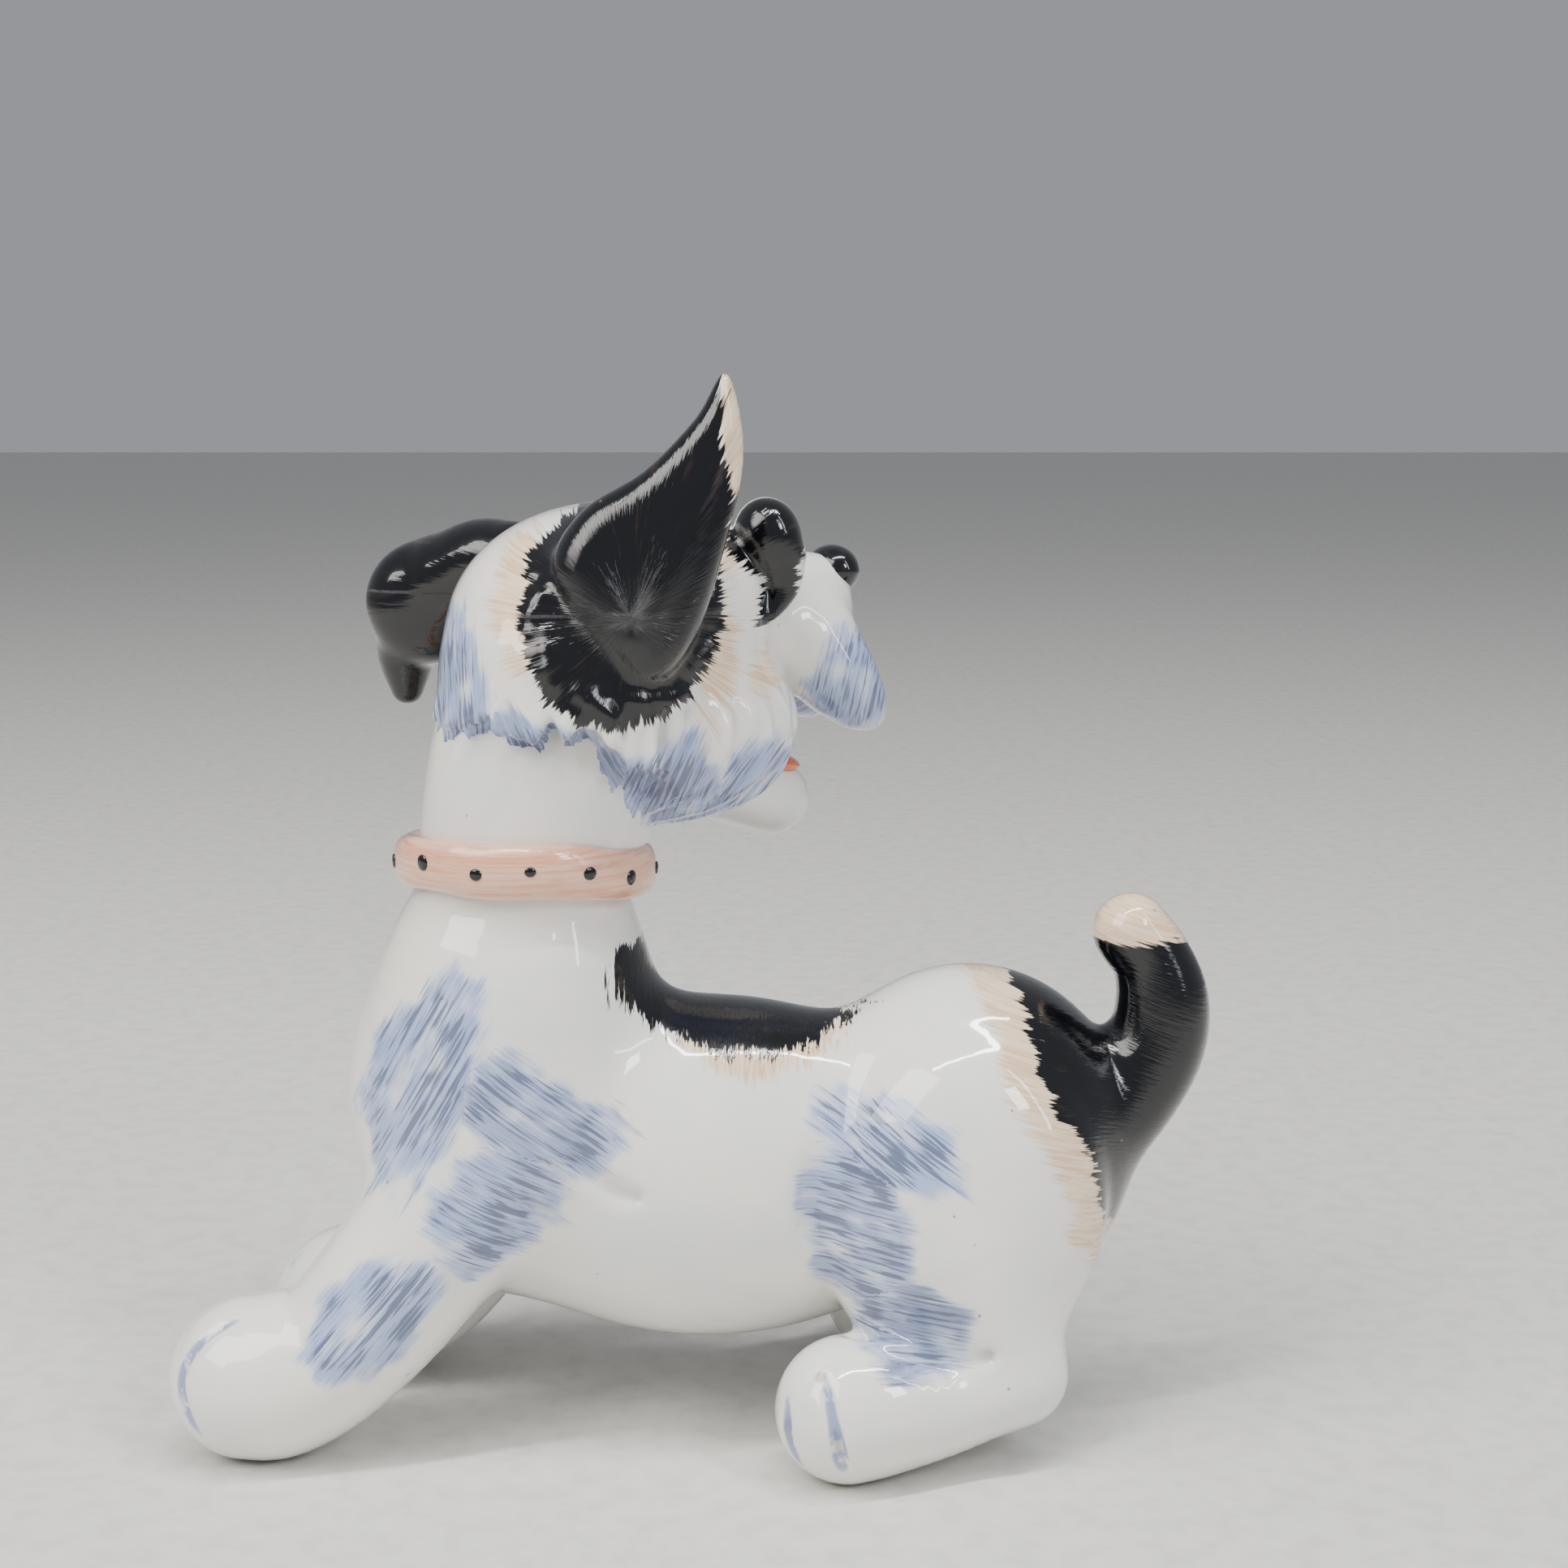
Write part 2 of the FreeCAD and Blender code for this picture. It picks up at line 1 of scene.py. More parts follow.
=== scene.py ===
import math
import bpy
import numpy as np
import openvdb
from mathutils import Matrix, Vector


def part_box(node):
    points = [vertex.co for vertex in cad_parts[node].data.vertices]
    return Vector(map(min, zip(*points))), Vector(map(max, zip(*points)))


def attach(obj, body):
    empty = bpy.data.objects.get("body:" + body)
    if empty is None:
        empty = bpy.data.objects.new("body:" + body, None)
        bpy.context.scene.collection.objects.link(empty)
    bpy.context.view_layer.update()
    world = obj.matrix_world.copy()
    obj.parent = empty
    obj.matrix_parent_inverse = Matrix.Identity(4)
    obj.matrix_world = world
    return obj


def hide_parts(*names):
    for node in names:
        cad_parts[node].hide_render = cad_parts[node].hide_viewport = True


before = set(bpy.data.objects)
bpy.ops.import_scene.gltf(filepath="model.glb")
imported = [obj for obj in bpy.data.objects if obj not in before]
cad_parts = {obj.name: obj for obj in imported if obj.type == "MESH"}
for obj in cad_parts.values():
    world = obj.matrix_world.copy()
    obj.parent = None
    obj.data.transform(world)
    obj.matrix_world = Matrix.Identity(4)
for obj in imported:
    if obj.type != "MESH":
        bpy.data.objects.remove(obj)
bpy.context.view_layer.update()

# The figure is sculpted in millimetres about the middle of its own body: X from chest to tail,
# Y across with the dog's left side negative, Z up from the table.
bodyLow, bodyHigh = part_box("body_casting")
chestToMiddle = 63
midBody = (bodyLow.x * 1000 + chestToMiddle, (bodyLow.y + bodyHigh.y) * 500, 0)


# Distance fields. Every shape takes an array of points and returns how far each is outside it.
sweepReach = 18.0  # beyond this only a rough distance is given, which saves time
grooveSteps = 3  # pieces between two stations of a thin line; thick rods have more


def turned(p, yaw):
    a = math.radians(yaw)
    c, s = math.cos(a), math.sin(a)
    return np.stack([p[:, 0] * c - p[:, 1] * s, p[:, 0] * s + p[:, 1] * c, p[:, 2]], axis=1)


def ball(p, centre, radius):
    return np.linalg.norm(p - np.array(centre), axis=1) - radius


def egg(p, centre, radii, lean=0.0):
    # an ellipsoid, leaned about Y in degrees
    q = p - np.array(centre)
    a = math.radians(lean)
    x = q[:, 0] * math.cos(a) - q[:, 2] * math.sin(a)
    z = q[:, 0] * math.sin(a) + q[:, 2] * math.cos(a)
    k0 = np.sqrt((x / radii[0]) ** 2 + (q[:, 1] / radii[1]) ** 2 + (z / radii[2]) ** 2)
    k1 = np.sqrt((x / radii[0] ** 2) ** 2 + (q[:, 1] / radii[1] ** 2) ** 2 + (z / radii[2] ** 2) ** 2)
    return np.where(k0 < 1e-3, -min(radii), k0 * (k0 - 1.0) / np.maximum(k1, 1e-9))


def passing(one, two, three, four, t):
    # a point part of the way from two to three, on a smooth run through all four
    return 0.5 * (2 * two + (three - one) * t + (2 * one - 5 * two + 4 * three - four) * t * t
                  + (3 * two - one - 3 * three + four) * t ** 3)


def curve(stations, steps):
    # a smooth run of (x, y, z, radius) through the stations
    s = np.array(stations, float)
    s = np.vstack([2 * s[0] - s[1], s, 2 * s[-1] - s[-2]])
    run = [passing(*s[k - 1:k + 3], t) for k in range(1, len(s) - 2) for t in np.arange(steps) / steps]
    return np.array(run + [s[-2]])


def sweep(p, stations, steps=5):
    # a round rod of changing thickness
    run = curve(stations, steps)
    low, high = (run[:, :3] - run[:, 3:]).min(0), (run[:, :3] + run[:, 3:]).max(0)
    d = np.linalg.norm(np.maximum(np.maximum(low - p, p - high), 0), axis=1) + 4.0
    near = np.nonzero(d < sweepReach)[0]
    q = p[near]
    best = np.full(len(q), 1e9)
    for one, two in zip(run[:-1], run[1:]):
        axis = two[:3] - one[:3]
        w = q - one[:3]
        t = np.clip(w @ axis / (axis @ axis), 0, 1)
        w -= t[:, None] * axis
        best = np.minimum(best, np.sqrt((w * w).sum(1)) - (one[3] + (two[3] - one[3]) * t))
    d[near] = best
    return d


def melt(a, b, soft):
    # joins two shapes with a fillet of about this size
    h = np.maximum(soft - np.abs(a - b), 0) / soft
    return np.minimum(a, b) - h ** 3 * soft / 6


def scoop(a, b, soft):
    # takes shape b out of shape a, with a rounded lip
    return -melt(-a, b, soft)


def smoothstep(low, high, value):
    t = np.clip((value - low) / (high - low), 0, 1)
    return t * t * (3 - 2 * t)


# Body: chest, barrel and rump run into each other, and the neck rises out of the chest.
# An egg is its middle and its half sizes; a rod is a list of (x, y, z, radius).
torso = {"chest": ((-36, 0, 62), (27, 25.5, 36)), "barrel": ((2, 0, 49), (48, 26.4, 32.5)),
         "rump": ((51, 0, 54), (31.5, 26.5, 33.5)), "chestFillet": 14, "rumpFillet": 13, "neckFillet": 19,
         "neck": [(-36.5, 0, 66, 24.5), (-33.4, 0, 85, 23.6), (-32.2, 0, 97, 20.4), (-31.5, 0, 108, 19.6),
                  (-29, 1, 118, 21.3), (-26, 2.5, 130, 22), (-22, 5, 142, 20.5)]}


def torsoShape(p):
    d = melt(egg(p, *torso["chest"]), egg(p, *torso["barrel"]), torso["chestFillet"])
    d = melt(d, egg(p, *torso["rump"]), torso["rumpFillet"])
    return melt(d, sweep(p, torso["neck"]), torso["neckFillet"])


tail = {"rod": [(64, 0, 52, 14), (74, 0, 58, 12), (81.5, 0, 65, 10.4), (86.4, 0, 73, 9.4), (87.4, 0, 81, 8.7),
                (85.4, 0, 88.5, 7.5), (82.2, 0, 93, 7.3), (81.3, 0, 94.2, 7.2)]}


# Legs. Side -1 is the dog's left, +1 its right. The right legs stand a little further back.
def onSide(stations, side, setback=0):
    # a station may end with the share of the setback that it takes
    back = setback if side > 0 else 0
    return [(x + back * (share or [1])[0], side * y, z, radius) for x, y, z, radius, *share in stations]


def sided(place, side):
    return (place[0], side * place[1], place[2])


foreleg = {"setback": 12, "grooveLip": 1.4,
           "rod": [(-32, 12, 63, 13.5, 0.4), (-43, 15.5, 47.5, 15, 0.6), (-54, 17.5, 33, 14.6, 0.8),
                   (-66, 18.7, 20, 13.8), (-76, 19, 15.2, 15.2), (-81.5, 19, 14.6, 15)],
           "outerGroove": [(-82.5, 26, 28.4, 0.5), (-88.8, 27.8, 25, 1.0), (-92.4, 28.6, 18.5, 1.2),
                           (-91, 30.6, 11.5, 1.1), (-87.5, 31.6, 4, 0.8)],
           "innerGroove": [(-86, 15, 30, 0.6), (-92.6, 14.6, 25.6, 1.0), (-96.8, 14.4, 17, 1.2),
                           (-95.2, 14.4, 8, 1.1), (-90, 14.4, -1, 0.8)]}


def forelegShape(p, side):
    return sweep(p, onSide(foreleg["rod"], side, foreleg["setback"]))


def forepawToes(p, side):
    # grooves between the toes, down the front and outer side of the paw
    return np.minimum(*[sweep(p, onSide(foreleg[name], side, foreleg["setback"]), grooveSteps)
                        for name in ("outerGroove", "innerGroove")])


hindLeg = {"setback": 10, "grooveLip": 1.4, "thigh": ((49, 16, 46), (26.5, 15.4, 32)), "thighLean": 4,
           "kneeFillet": 8, "heelFillet": 7,
           "shin": [(50, 17, 38, 14, 0), (55, 20, 26, 11.5, 0.5), (58.5, 22, 17, 8.8, 0.5)],
           "foot": [(59, 22, 16, 8.4, 0.5), (46, 25, 13.4, 10.4), (34, 28, 13, 12.6), (28, 29.2, 12.6, 13.2)],
           # each toe groove: how far along the paw and out from its middle; then the groove's own line
           "grooves": [(18.5, 6.5), (27, 12.4)],
           "grooveLine": [(-3.5, 25, 23, 0.5), (-2, 29.2, 16, 0.8), (-0.8, 29.2, 10, 1.2), (0, 29.2, 3, 1.2),
                          (0.5, 29.2, -2, 0.9)]}


def hindLegShape(p, side):
    middle, radii = hindLeg["thigh"]
    shin, foot = [sweep(p, onSide(hindLeg[name], side, hindLeg["setback"])) for name in ("shin", "foot")]
    d = melt(egg(p, sided(middle, side), radii, hindLeg["thighLean"]), shin, hindLeg["kneeFillet"])
    return melt(d, foot, hindLeg["heelFillet"])


def hindPawToes(p, side):
    lines = [[(x + along, y + across, z, radius) for x, y, z, radius in hindLeg["grooveLine"]]
             for along, across in hindLeg["grooves"]]
    return np.minimum(*[sweep(p, onSide(line, side, hindLeg["setback"]), grooveSteps) for line in lines])


# Pressed lines: the front of the thigh, behind the elbow, the armpit, and above the hind paw.
creaseLines = {
    "thigh": [(29, 22, 75, 0.4), (24.4, 24.6, 66, 1.6), (21.6, 25.2, 54, 2.0), (21.8, 25.2, 42, 2.0),
              (25.6, 24, 31, 1.8), (31, 27, 25, 0.9)],
    "elbow": [(-21, 25.8, 58, 0.6), (-17, 26.4, 54.6, 1.6), (-13.4, 26, 52, 1.5), (-10, 25.6, 51, 0.5)],
    "armpit": [(-29, 27, 50, 0.6), (-25.5, 26.8, 46, 1.8), (-22, 25.6, 42.6, 0.9)],
    "instep": [(32, 31.6, 26.5, 0.6), (38, 33.2, 24.8, 1.6), (46, 33, 23, 1.5), (53, 31.6, 23.4, 0.6)]}
creaseWidening = 0.6
creaseLip = 2.6


def creases(p, side):
    lines = [sweep(p, onSide(line, side), grooveSteps) for line in creaseLines.values()]
    return np.min(lines, axis=0) - creaseWidening


# Head. Its own axes run out of the nose, to its left and up, from the middle of the skull.
headMiddle = np.array((-15.0, 8.0, 148.0))
headYaw = 30.0


def headAxes(p):
    return turned(p - headMiddle, -headYaw)


skull = {"dome": ((-1.5, 0, 2.5), (30, 27, 23)), "forehead": ((11, 0, 9), (19, 19, 14.5)),
         "cheeks": ((7, 0, -15.5), (27, 29, 19.5)), "foreheadFillet": 10, "cheekFillet": 8, "ruffFillet": 3}


def skullShape(q):
    d = melt(egg(q, *skull["dome"]), egg(q, *skull["forehead"]), skull["foreheadFillet"])
    return melt(d, egg(q, *skull["cheeks"]), skull["cheekFillet"])


muzzle = {"core": ((30, 0, 1.5), (21, 12, 13)), "bridge": [(18, 0, 5, 11.5), (33, 0, 6, 9.6), (44, 0, 8.4, 6)],
          "moustache": [(39, 6, -2, 9), (42.5, 8.5, -8, 8.1), (46.5, 10, -13, 5.9), (48.3, 10.8, -15.2, 4.1)],
          "fillet": 5}


def muzzleShape(q):
    d = melt(egg(q, *muzzle["core"]), sweep(q, muzzle["bridge"], 4), muzzle["fillet"])
    for side in (-1, 1):
        d = melt(d, sweep(q, onSide(muzzle["moustache"], side), 4), muzzle["fillet"])
    return d


jaw = {"rod": [(12, 0, -22, 10), (20, 0, -26.5, 8.8), (28, 0, -30.5, 7.6), (33.6, 0, -32.6, 7.2)]}

# Brows. Side -1 is over the dog's right eye, +1 over its left, in the head's axes.
brow = {"ball": ((24.6, 14.2, 19), (6.2, 7, 7.4)), "lean": -8, "fillet": 3,
        "drop": [(26.6, 15, 14.5, 5.2), (26.6, 16, 10, 3.4), (24.6, 17.2, 6.4, 1.9), (23, 17.8, 4.6, 1.0)]}


def browShape(q, side):
    middle, radii = brow["ball"]
    return melt(egg(q, sided(middle, side), radii, brow["lean"]), sweep(q, onSide(brow["drop"], side), 3),
                brow["fillet"])


def insideOutline(points, a, b):
    # signed distance in a plane to a closed outline of points, negative inside
    d = np.full(len(a), 1e9)
    inside = np.zeros(len(a), bool)
    for (x0, y0), (x1, y1) in zip(points, points[1:] + points[:1]):
        ex, ey = x1 - x0, y1 - y0
        wx, wy = a - x0, b - y0
        t = np.clip((wx * ex + wy * ey) / (ex * ex + ey * ey), 0, 1)
        d = np.minimum(d, np.hypot(wx - t * ex, wy - t * ey))
        crosses = (y0 > b) != (y1 > b)
        inside ^= crosses & (a < x0 + (b - y0) * ex / (ey if ey else 1e-9))
    return np.where(inside, -d, d)


def closed(points, steps=5):
    # a smooth closed outline through a few points
    ringed = np.array(points[-1:] + points + points[:2], float)
    return [tuple(passing(*ringed[k:k + 4], t)) for k in range(len(points)) for t in np.arange(steps) / steps]


# Right ear, erect: a broad leaf, thin front to back, with a hollow down its front edge.
# The leaf's outline is (x, z), as the ear is seen from the dog's side.
rightEar = {"leaf": closed([(-24, 163), (-19, 173), (-8, 180), (1, 189), (6.5, 197), (9.5, 184), (7, 170),
                            (1, 151), (-7, 143), (-17, 150)]),
            "foot": 150, "height": 47, "thick": 8.8, "thinning": 6.2, "out": 17.5, "lean": 2.5, "lip": 3,
            "hollow": [(-7, -28, 145, 4), (-2.5, -28.6, 154, 5), (2.5, -26.8, 163, 4.6), (6.5, -22.4, 175, 3),
                       (9, -18.6, 184, 1.4)]}


def rightEarShape(p):
    high = np.clip((p[:, 2] - rightEar["foot"]) / rightEar["height"], 0, 1)
    thick = rightEar["thick"] - rightEar["thinning"] * high ** 0.8
    flat = insideOutline(rightEar["leaf"], p[:, 0], p[:, 2])
    side = p[:, 1] + rightEar["out"] - rightEar["lean"] * high
    d = (np.hypot(np.maximum(flat + thick, 0), side) - thick) * 0.9
    return scoop(d, sweep(p, rightEar["hollow"], 4), rightEar["lip"])


# Clumps of fur standing round the foot of the right ear; middle is (x, z).
furRing = {"middle": (-11, 155), "reach": 16, "width": 3.2, "height": 1.3, "clumps": 9, "hairs": 31}


def earFur(p):
    # the height of the relief
    x, z = p[:, 0] - furRing["middle"][0], p[:, 2] - furRing["middle"][1]
    around, reach = np.arctan2(z, x), np.hypot(z, x)
    clumps = (0.65 + 0.35 * np.sin(around * furRing["clumps"] + 0.8 * np.sin(reach))
              + 0.15 * np.sin(around * furRing["hairs"]))
    fade = np.exp(-((reach - furRing["reach"]) / furRing["width"]) ** 2) * (p[:, 1] < 2)
    return furRing["height"] * clumps * fade


# Left ear, folded: out from the skull, over, and down to a hanging tip.
leftEar = {"root": [(-36, 26, 161, 8), (-42, 29.5, 161, 8.3), (-48, 32.5, 158, 8.8)],
           "fold": ((-53.5, 35, 152.5), (12.3, 8.3, 12.3)), "foldLean": 18, "foldFillet": 5,
           "tip": [(-56.5, 37, 149, 7.5), (-58.6, 39, 141.5, 5.8), (-58.8, 39.5, 135, 3.4)], "tipFillet": 2.5}


def leftEarShape(p):
    fold = egg(p, *leftEar["fold"], leftEar["foldLean"])
    d = melt(sweep(p, leftEar["root"], 4), fold, leftEar["foldFillet"])
    return melt(d, sweep(p, leftEar["tip"], 4), leftEar["tipFillet"])


# Ruff: a lip of fur round the back of the jaw, standing off the neck, with a ragged lower edge.
ruff = {"rod": [(-12, -4, -34, 22.6), (-11, -4, -20, 24.8), (-9, -3, -6, 25.6)], "backEdge": -13, "drop": 16.5,
        "lip": 2.2, "hub": 8, "lockHeight": 0.7}


def ruffShape(q):
    around = np.arctan2(q[:, 1], q[:, 0] + ruff["hub"])
    wave = 1.4 * np.sin(around * 9 + 0.6) + 0.9 * np.sin(around * 17 + 1.7) + 0.6 * np.sin(around * 31)
    line = ruff["backEdge"] - ruff["drop"] * smoothstep(-24, 14, q[:, 0]) + wave
    return -melt(-sweep(q, ruff["rod"], 4), q[:, 2] - line, ruff["lip"])


def locks(q):
    # upright fur locks on the ruff and cheeks: the height of the relief
    around = np.arctan2(q[:, 1], q[:, 0] + ruff["hub"])
    relief = np.sin(around * 26 + 0.12 * q[:, 2]) + 0.7 * np.sin(around * 43 - 0.2 * q[:, 2] + 1.1)
    fade = smoothstep(-6, -14, q[:, 2]) * smoothstep(-36, -29, q[:, 2]) * smoothstep(38, 24, q[:, 0])
    return ruff["lockHeight"] * relief * fade


def partDistances(p):
    # how far each point is outside each casting
    q = headAxes(p)
    d = {"body": torsoShape(p), "tail": sweep(p, tail["rod"])}
    for name, side in (("left", -1), ("right", 1)):
        d[f"{name}Foreleg"] = scoop(forelegShape(p, side), forepawToes(p, side), foreleg["grooveLip"])
        d[f"{name}HindLeg"] = scoop(hindLegShape(p, side), hindPawToes(p, side), hindLeg["grooveLip"])
    d["head"] = melt(skullShape(q), ruffShape(q), skull["ruffFillet"]) - locks(q) - earFur(p)
    d["muzzle"] = muzzleShape(q)
    d["jaw"] = sweep(q, jaw["rod"], 4)
    d["rightEar"] = rightEarShape(p)
    d["leftEar"] = leftEarShape(p)
    d["rightBrow"] = browShape(q, -1)
    d["leftBrow"] = browShape(q, 1)
    return d


# How softly each casting is luted on with slip.
bodyFillets = {"leftForeleg": 9, "rightForeleg": 9, "leftHindLeg": 3.6, "rightHindLeg": 3.6, "tail": 6}
headFillets = {"muzzle": 5, "jaw": 1.5, "rightBrow": 1.6, "leftBrow": 1.6, "rightEar": 3, "leftEar": 3}
neckFillet = 1.2


def skinDistance(p):
    # the whole glazed skin, with every joint between castings filled in and smoothed
    d = partDistances(p)
    skin, head = d["body"], d["head"]
    for name, soft in bodyFillets.items():
        skin = melt(skin, d[name], soft)
    for side in (-1, 1):
        skin = scoop(skin, creases(p, side), creaseLip)
    for name, soft in headFillets.items():
        head = melt(head, d[name], soft)
    return np.maximum(melt(skin, head, neckFillet), -p[:, 2])


# Surfacing. The skin is sampled coarsely, then finely only where the surface passes.
stepMm = 0.6
coarse = 4  # fine steps along each coarse cell
outsideMm = 12.0  # what the grid holds away from the figure
sampleLow, sampleHigh = np.array([-102.0, -52.0, -3.0]), np.array([102.0, 48.0, 202.0])
smoothing = {"rounds": 5, "in": 0.55, "out": -0.58}  # in and out by turns, so that nothing shrinks


def inChunks(shape, points, size=60000):
    return np.concatenate([shape(points[k:k + size]) for k in range(0, len(points), size)])


def sampledSkin():
    low, wide = sampleLow, stepMm * coarse
    counts = np.ceil((sampleHigh - low) / wide).astype(int)
    cells = np.stack(np.meshgrid(*[np.arange(n) for n in counts], indexing="ij"), -1).reshape(-1, 3)
    rough = inChunks(skinDistance, low + (cells + 0.5) * wide)
    close = cells[np.abs(rough) < wide * 1.35]
    field = rough.reshape(counts).astype(np.float32)
    field = field.repeat(coarse, 0).repeat(coarse, 1).repeat(coarse, 2)
    inner = np.stack(np.meshgrid(*[np.arange(coarse)] * 3, indexing="ij"), -1).reshape(-1, 3)
    spots = (close[:, None, :] * coarse + inner[None]).reshape(-1, 3)
    exact = inChunks(skinDistance, low + (spots + 0.5) * stepMm)
    field[spots[:, 0], spots[:, 1], spots[:, 2]] = exact
    grid = openvdb.FloatGrid(outsideMm)
    grid.copyFromArray(field)
    points, quads = grid.convertToQuads(0.0)
    return low + (np.array(points, float) + 0.5) * stepMm, np.array(quads, int)


def edgesOf(quads):
    pairs = np.concatenate([quads[:, [k, (k + 1) % 4]] for k in range(4)])
    return np.unique(np.sort(pairs, axis=1), axis=0)


def spread(values, edges, weight, rounds):
    # moves each value toward the average of its neighbours
    count = np.bincount(edges.ravel(), minlength=len(values)).astype(float)[:, None]
    for _ in range(rounds):
        total = np.empty_like(values)
        for k in range(values.shape[1]):
            total[:, k] = (np.bincount(edges[:, 0], values[edges[:, 1], k], len(values))
                           + np.bincount(edges[:, 1], values[edges[:, 0], k], len(values)))
        values = values + weight * (total / count - values)
    return values


def unit(v):
    return v / np.maximum(np.linalg.norm(v, axis=1), 1e-9)[:, None]


print("surfacing the skin")
skin, quads = sampledSkin()
edges = edgesOf(quads)
for _ in range(smoothing["rounds"]):
    skin = spread(skin, edges, smoothing["in"], 1)
    skin = spread(skin, edges, smoothing["out"], 1)
skin[:, 2] = np.maximum(skin[:, 2], 0)

faceNormals = np.cross(skin[quads[:, 2]] - skin[quads[:, 0]], skin[quads[:, 3]] - skin[quads[:, 1]])
if (faceNormals * skin[quads[:, 0]]).sum() < 0:  # inside out
    quads = quads[:, ::-1]
    faceNormals = -faceNormals
normals = np.zeros_like(skin)
for k in range(4):
    for axis in range(3):
        normals[:, axis] += np.bincount(quads[:, k], faceNormals[:, axis], len(skin))
normals = unit(spread(unit(normals), edges, 0.5, 3))

# How hollow the surface is at each point: the hollows get grey painted shade, and the glaze pools there too.
bend = spread(skin, edges, 1.0, 1) - skin
hollow = (bend * normals).sum(1)[:, None] / stepMm ** 2
hollow = spread(hollow, edges, 0.8, 10 if stepMm < 1 else 4)[:, 0]
print("skin points", len(skin), "faces", len(quads))

# Castings: the frame node and the slot of each. A face belongs to the casting that it is deepest in.
castings = {"body": ("body_casting", "body_glaze"), "tail": ("tail", "tail_glaze"),
            "leftForeleg": ("left_foreleg", "leg_glaze"), "rightForeleg": ("right_foreleg", "leg_glaze"),
            "leftHindLeg": ("left_hind_leg", "leg_glaze"), "rightHindLeg": ("right_hind_leg", "leg_glaze"),
            "head": ("head_casting", "head_glaze"), "muzzle": ("muzzle", "muzzle_glaze"),
            "jaw": ("lower_jaw", "jaw_glaze"), "rightEar": ("right_ear", "ear_glaze"),
            "leftEar": ("left_ear", "ear_glaze"), "rightBrow": ("right_brow", "brow_glaze"),
            "leftBrow": ("left_brow", "brow_glaze")}
outside = inChunks(lambda p: np.stack([partDistances(p)[name] for name in castings], 1), skin)
owner = outside[quads].mean(1).argmin(1)
part = dict(zip(castings, outside.T))

# Underglaze painting, laid on as ovals seen from the side. Each oval: middle (x, z), half its length, half
# its width, and the way it lies in degrees. A blue patch adds the way its strokes run and how grey it is.
markings = {
    "saddle": ((9.5, 89), 25, 14.4, -4), "saddleTop": 94, "earRing": ((-12, 156), 21, 18, 90),
    "brows": [((14, 169), 8.5, 8, 90), ((15.5, 157), 7, 2.6, 75)], "browFoot": 151,
    "earEdge": ((8.5, 187), 14, 2.6, 94),
    "rumpEdge": (56, 88), "rumpLean": -25, "rumpFoot": 41, "tailTip": 93.5, "tipFront": 66,
    "backCream": ((12, 84), 20, 13.5, 0),
    "headCreams": [((-29, 157), 14, 7, 90), ((4, 148), 14, 5, 90), ((15, 144), 6, 5, 45),
                   ((8, 168), 9, 4.5, 80)],
    "blues": [(((-49, 72), 20, 9.5, 68), 60, 0.15), (((-28, 66), 16, 8, -30), -38, 0.4),
              (((-35, 50), 14, 10, 40), -30, 0.15), (((-57, 31), 16, 8, 40), 50, 0.1),
              (((36, 61), 13, 7, -22), -34, 0.05), (((30, 45), 15, 9, -76), -8, 0.4),
              (((40, 29), 11, 7.5, -10), -6, 0.85), (((-43, 138), 16, 8, 92), 94, 0.2),
              (((-24, 130), 14, 7, -18), 116, 0.5), (((-4, 121), 12, 10, 70), 66, 0.4),
              (((13, 120), 11, 10, 60), 54, 0.15), (((29, 138), 10, 8.5, 70), 78, 0.25)]}
collarHeight = 104  # paint below this is the body's, above it the head's
headSide = 7  # the black and cream of the head stay on its right, y below this
far = 60.0  # no paint
onEar = 1.5  # how close to an ear counts as on it


def oval(x, z, middle, long, wide, lies=0):
    a = math.radians(lies)
    along = (x - middle[0]) * math.cos(a) + (z - middle[1]) * math.sin(a)
    across = (z - middle[1]) * math.cos(a) - (x - middle[0]) * math.sin(a)
    return (np.hypot(along / long, across / wide) - 1) * min(long, wide)


def furPaint(p):
    # how far each point is outside the black and the cream
    x, y, z = p.T
    onBody, near = z < collarHeight, y < headSide
    head = np.where(near & ~onBody, 0, far)
    body = np.where(onBody, 0, far)
    lean = math.radians(markings["rumpLean"])
    edgeX, edgeZ = markings["rumpEdge"]
    rump = (edgeX - x) * math.cos(lean) + (z - edgeZ) * math.sin(lean) + 1.3 * np.sin(z / 4)
    saddle = np.maximum(oval(x, z, *markings["saddle"]), z - markings["saddleTop"])
    rumpAndTail = np.maximum(np.maximum(rump, markings["rumpFoot"] - z), z - markings["tailTip"])
    black = np.minimum(saddle, rumpAndTail) + body
    black = np.minimum(black, head + oval(x, z, *markings["earRing"]))
    bare = oval(x, z, *markings["earEdge"])
    black = np.where(part["rightEar"] < onEar, np.maximum(-4, -bare * 1.2), black)
    black = np.minimum(black, (part["leftEar"] - 1.8) * 3.5)
    for patch in markings["brows"]:
        black = np.minimum(black, head + np.where(z > markings["browFoot"], 0, far) + oval(x, z, *patch) - 0.6)
    black = np.minimum(black, (part["leftBrow"] - 1.0) * 6)

    tip = np.maximum(markings["tailTip"] - 1.5 - z, markings["tipFront"] - x)
    cream = np.minimum(tip, np.maximum(rump - 7, markings["rumpFoot"] - 5 - z)) + body
    cream = np.minimum(cream, body + oval(x, z, *markings["backCream"]))
    for patch in markings["headCreams"]:
        cream = np.minimum(cream, head + oval(x, z, *patch))
    return black, np.minimum(cream, np.where(part["rightEar"] < onEar, bare - 1.5, far))


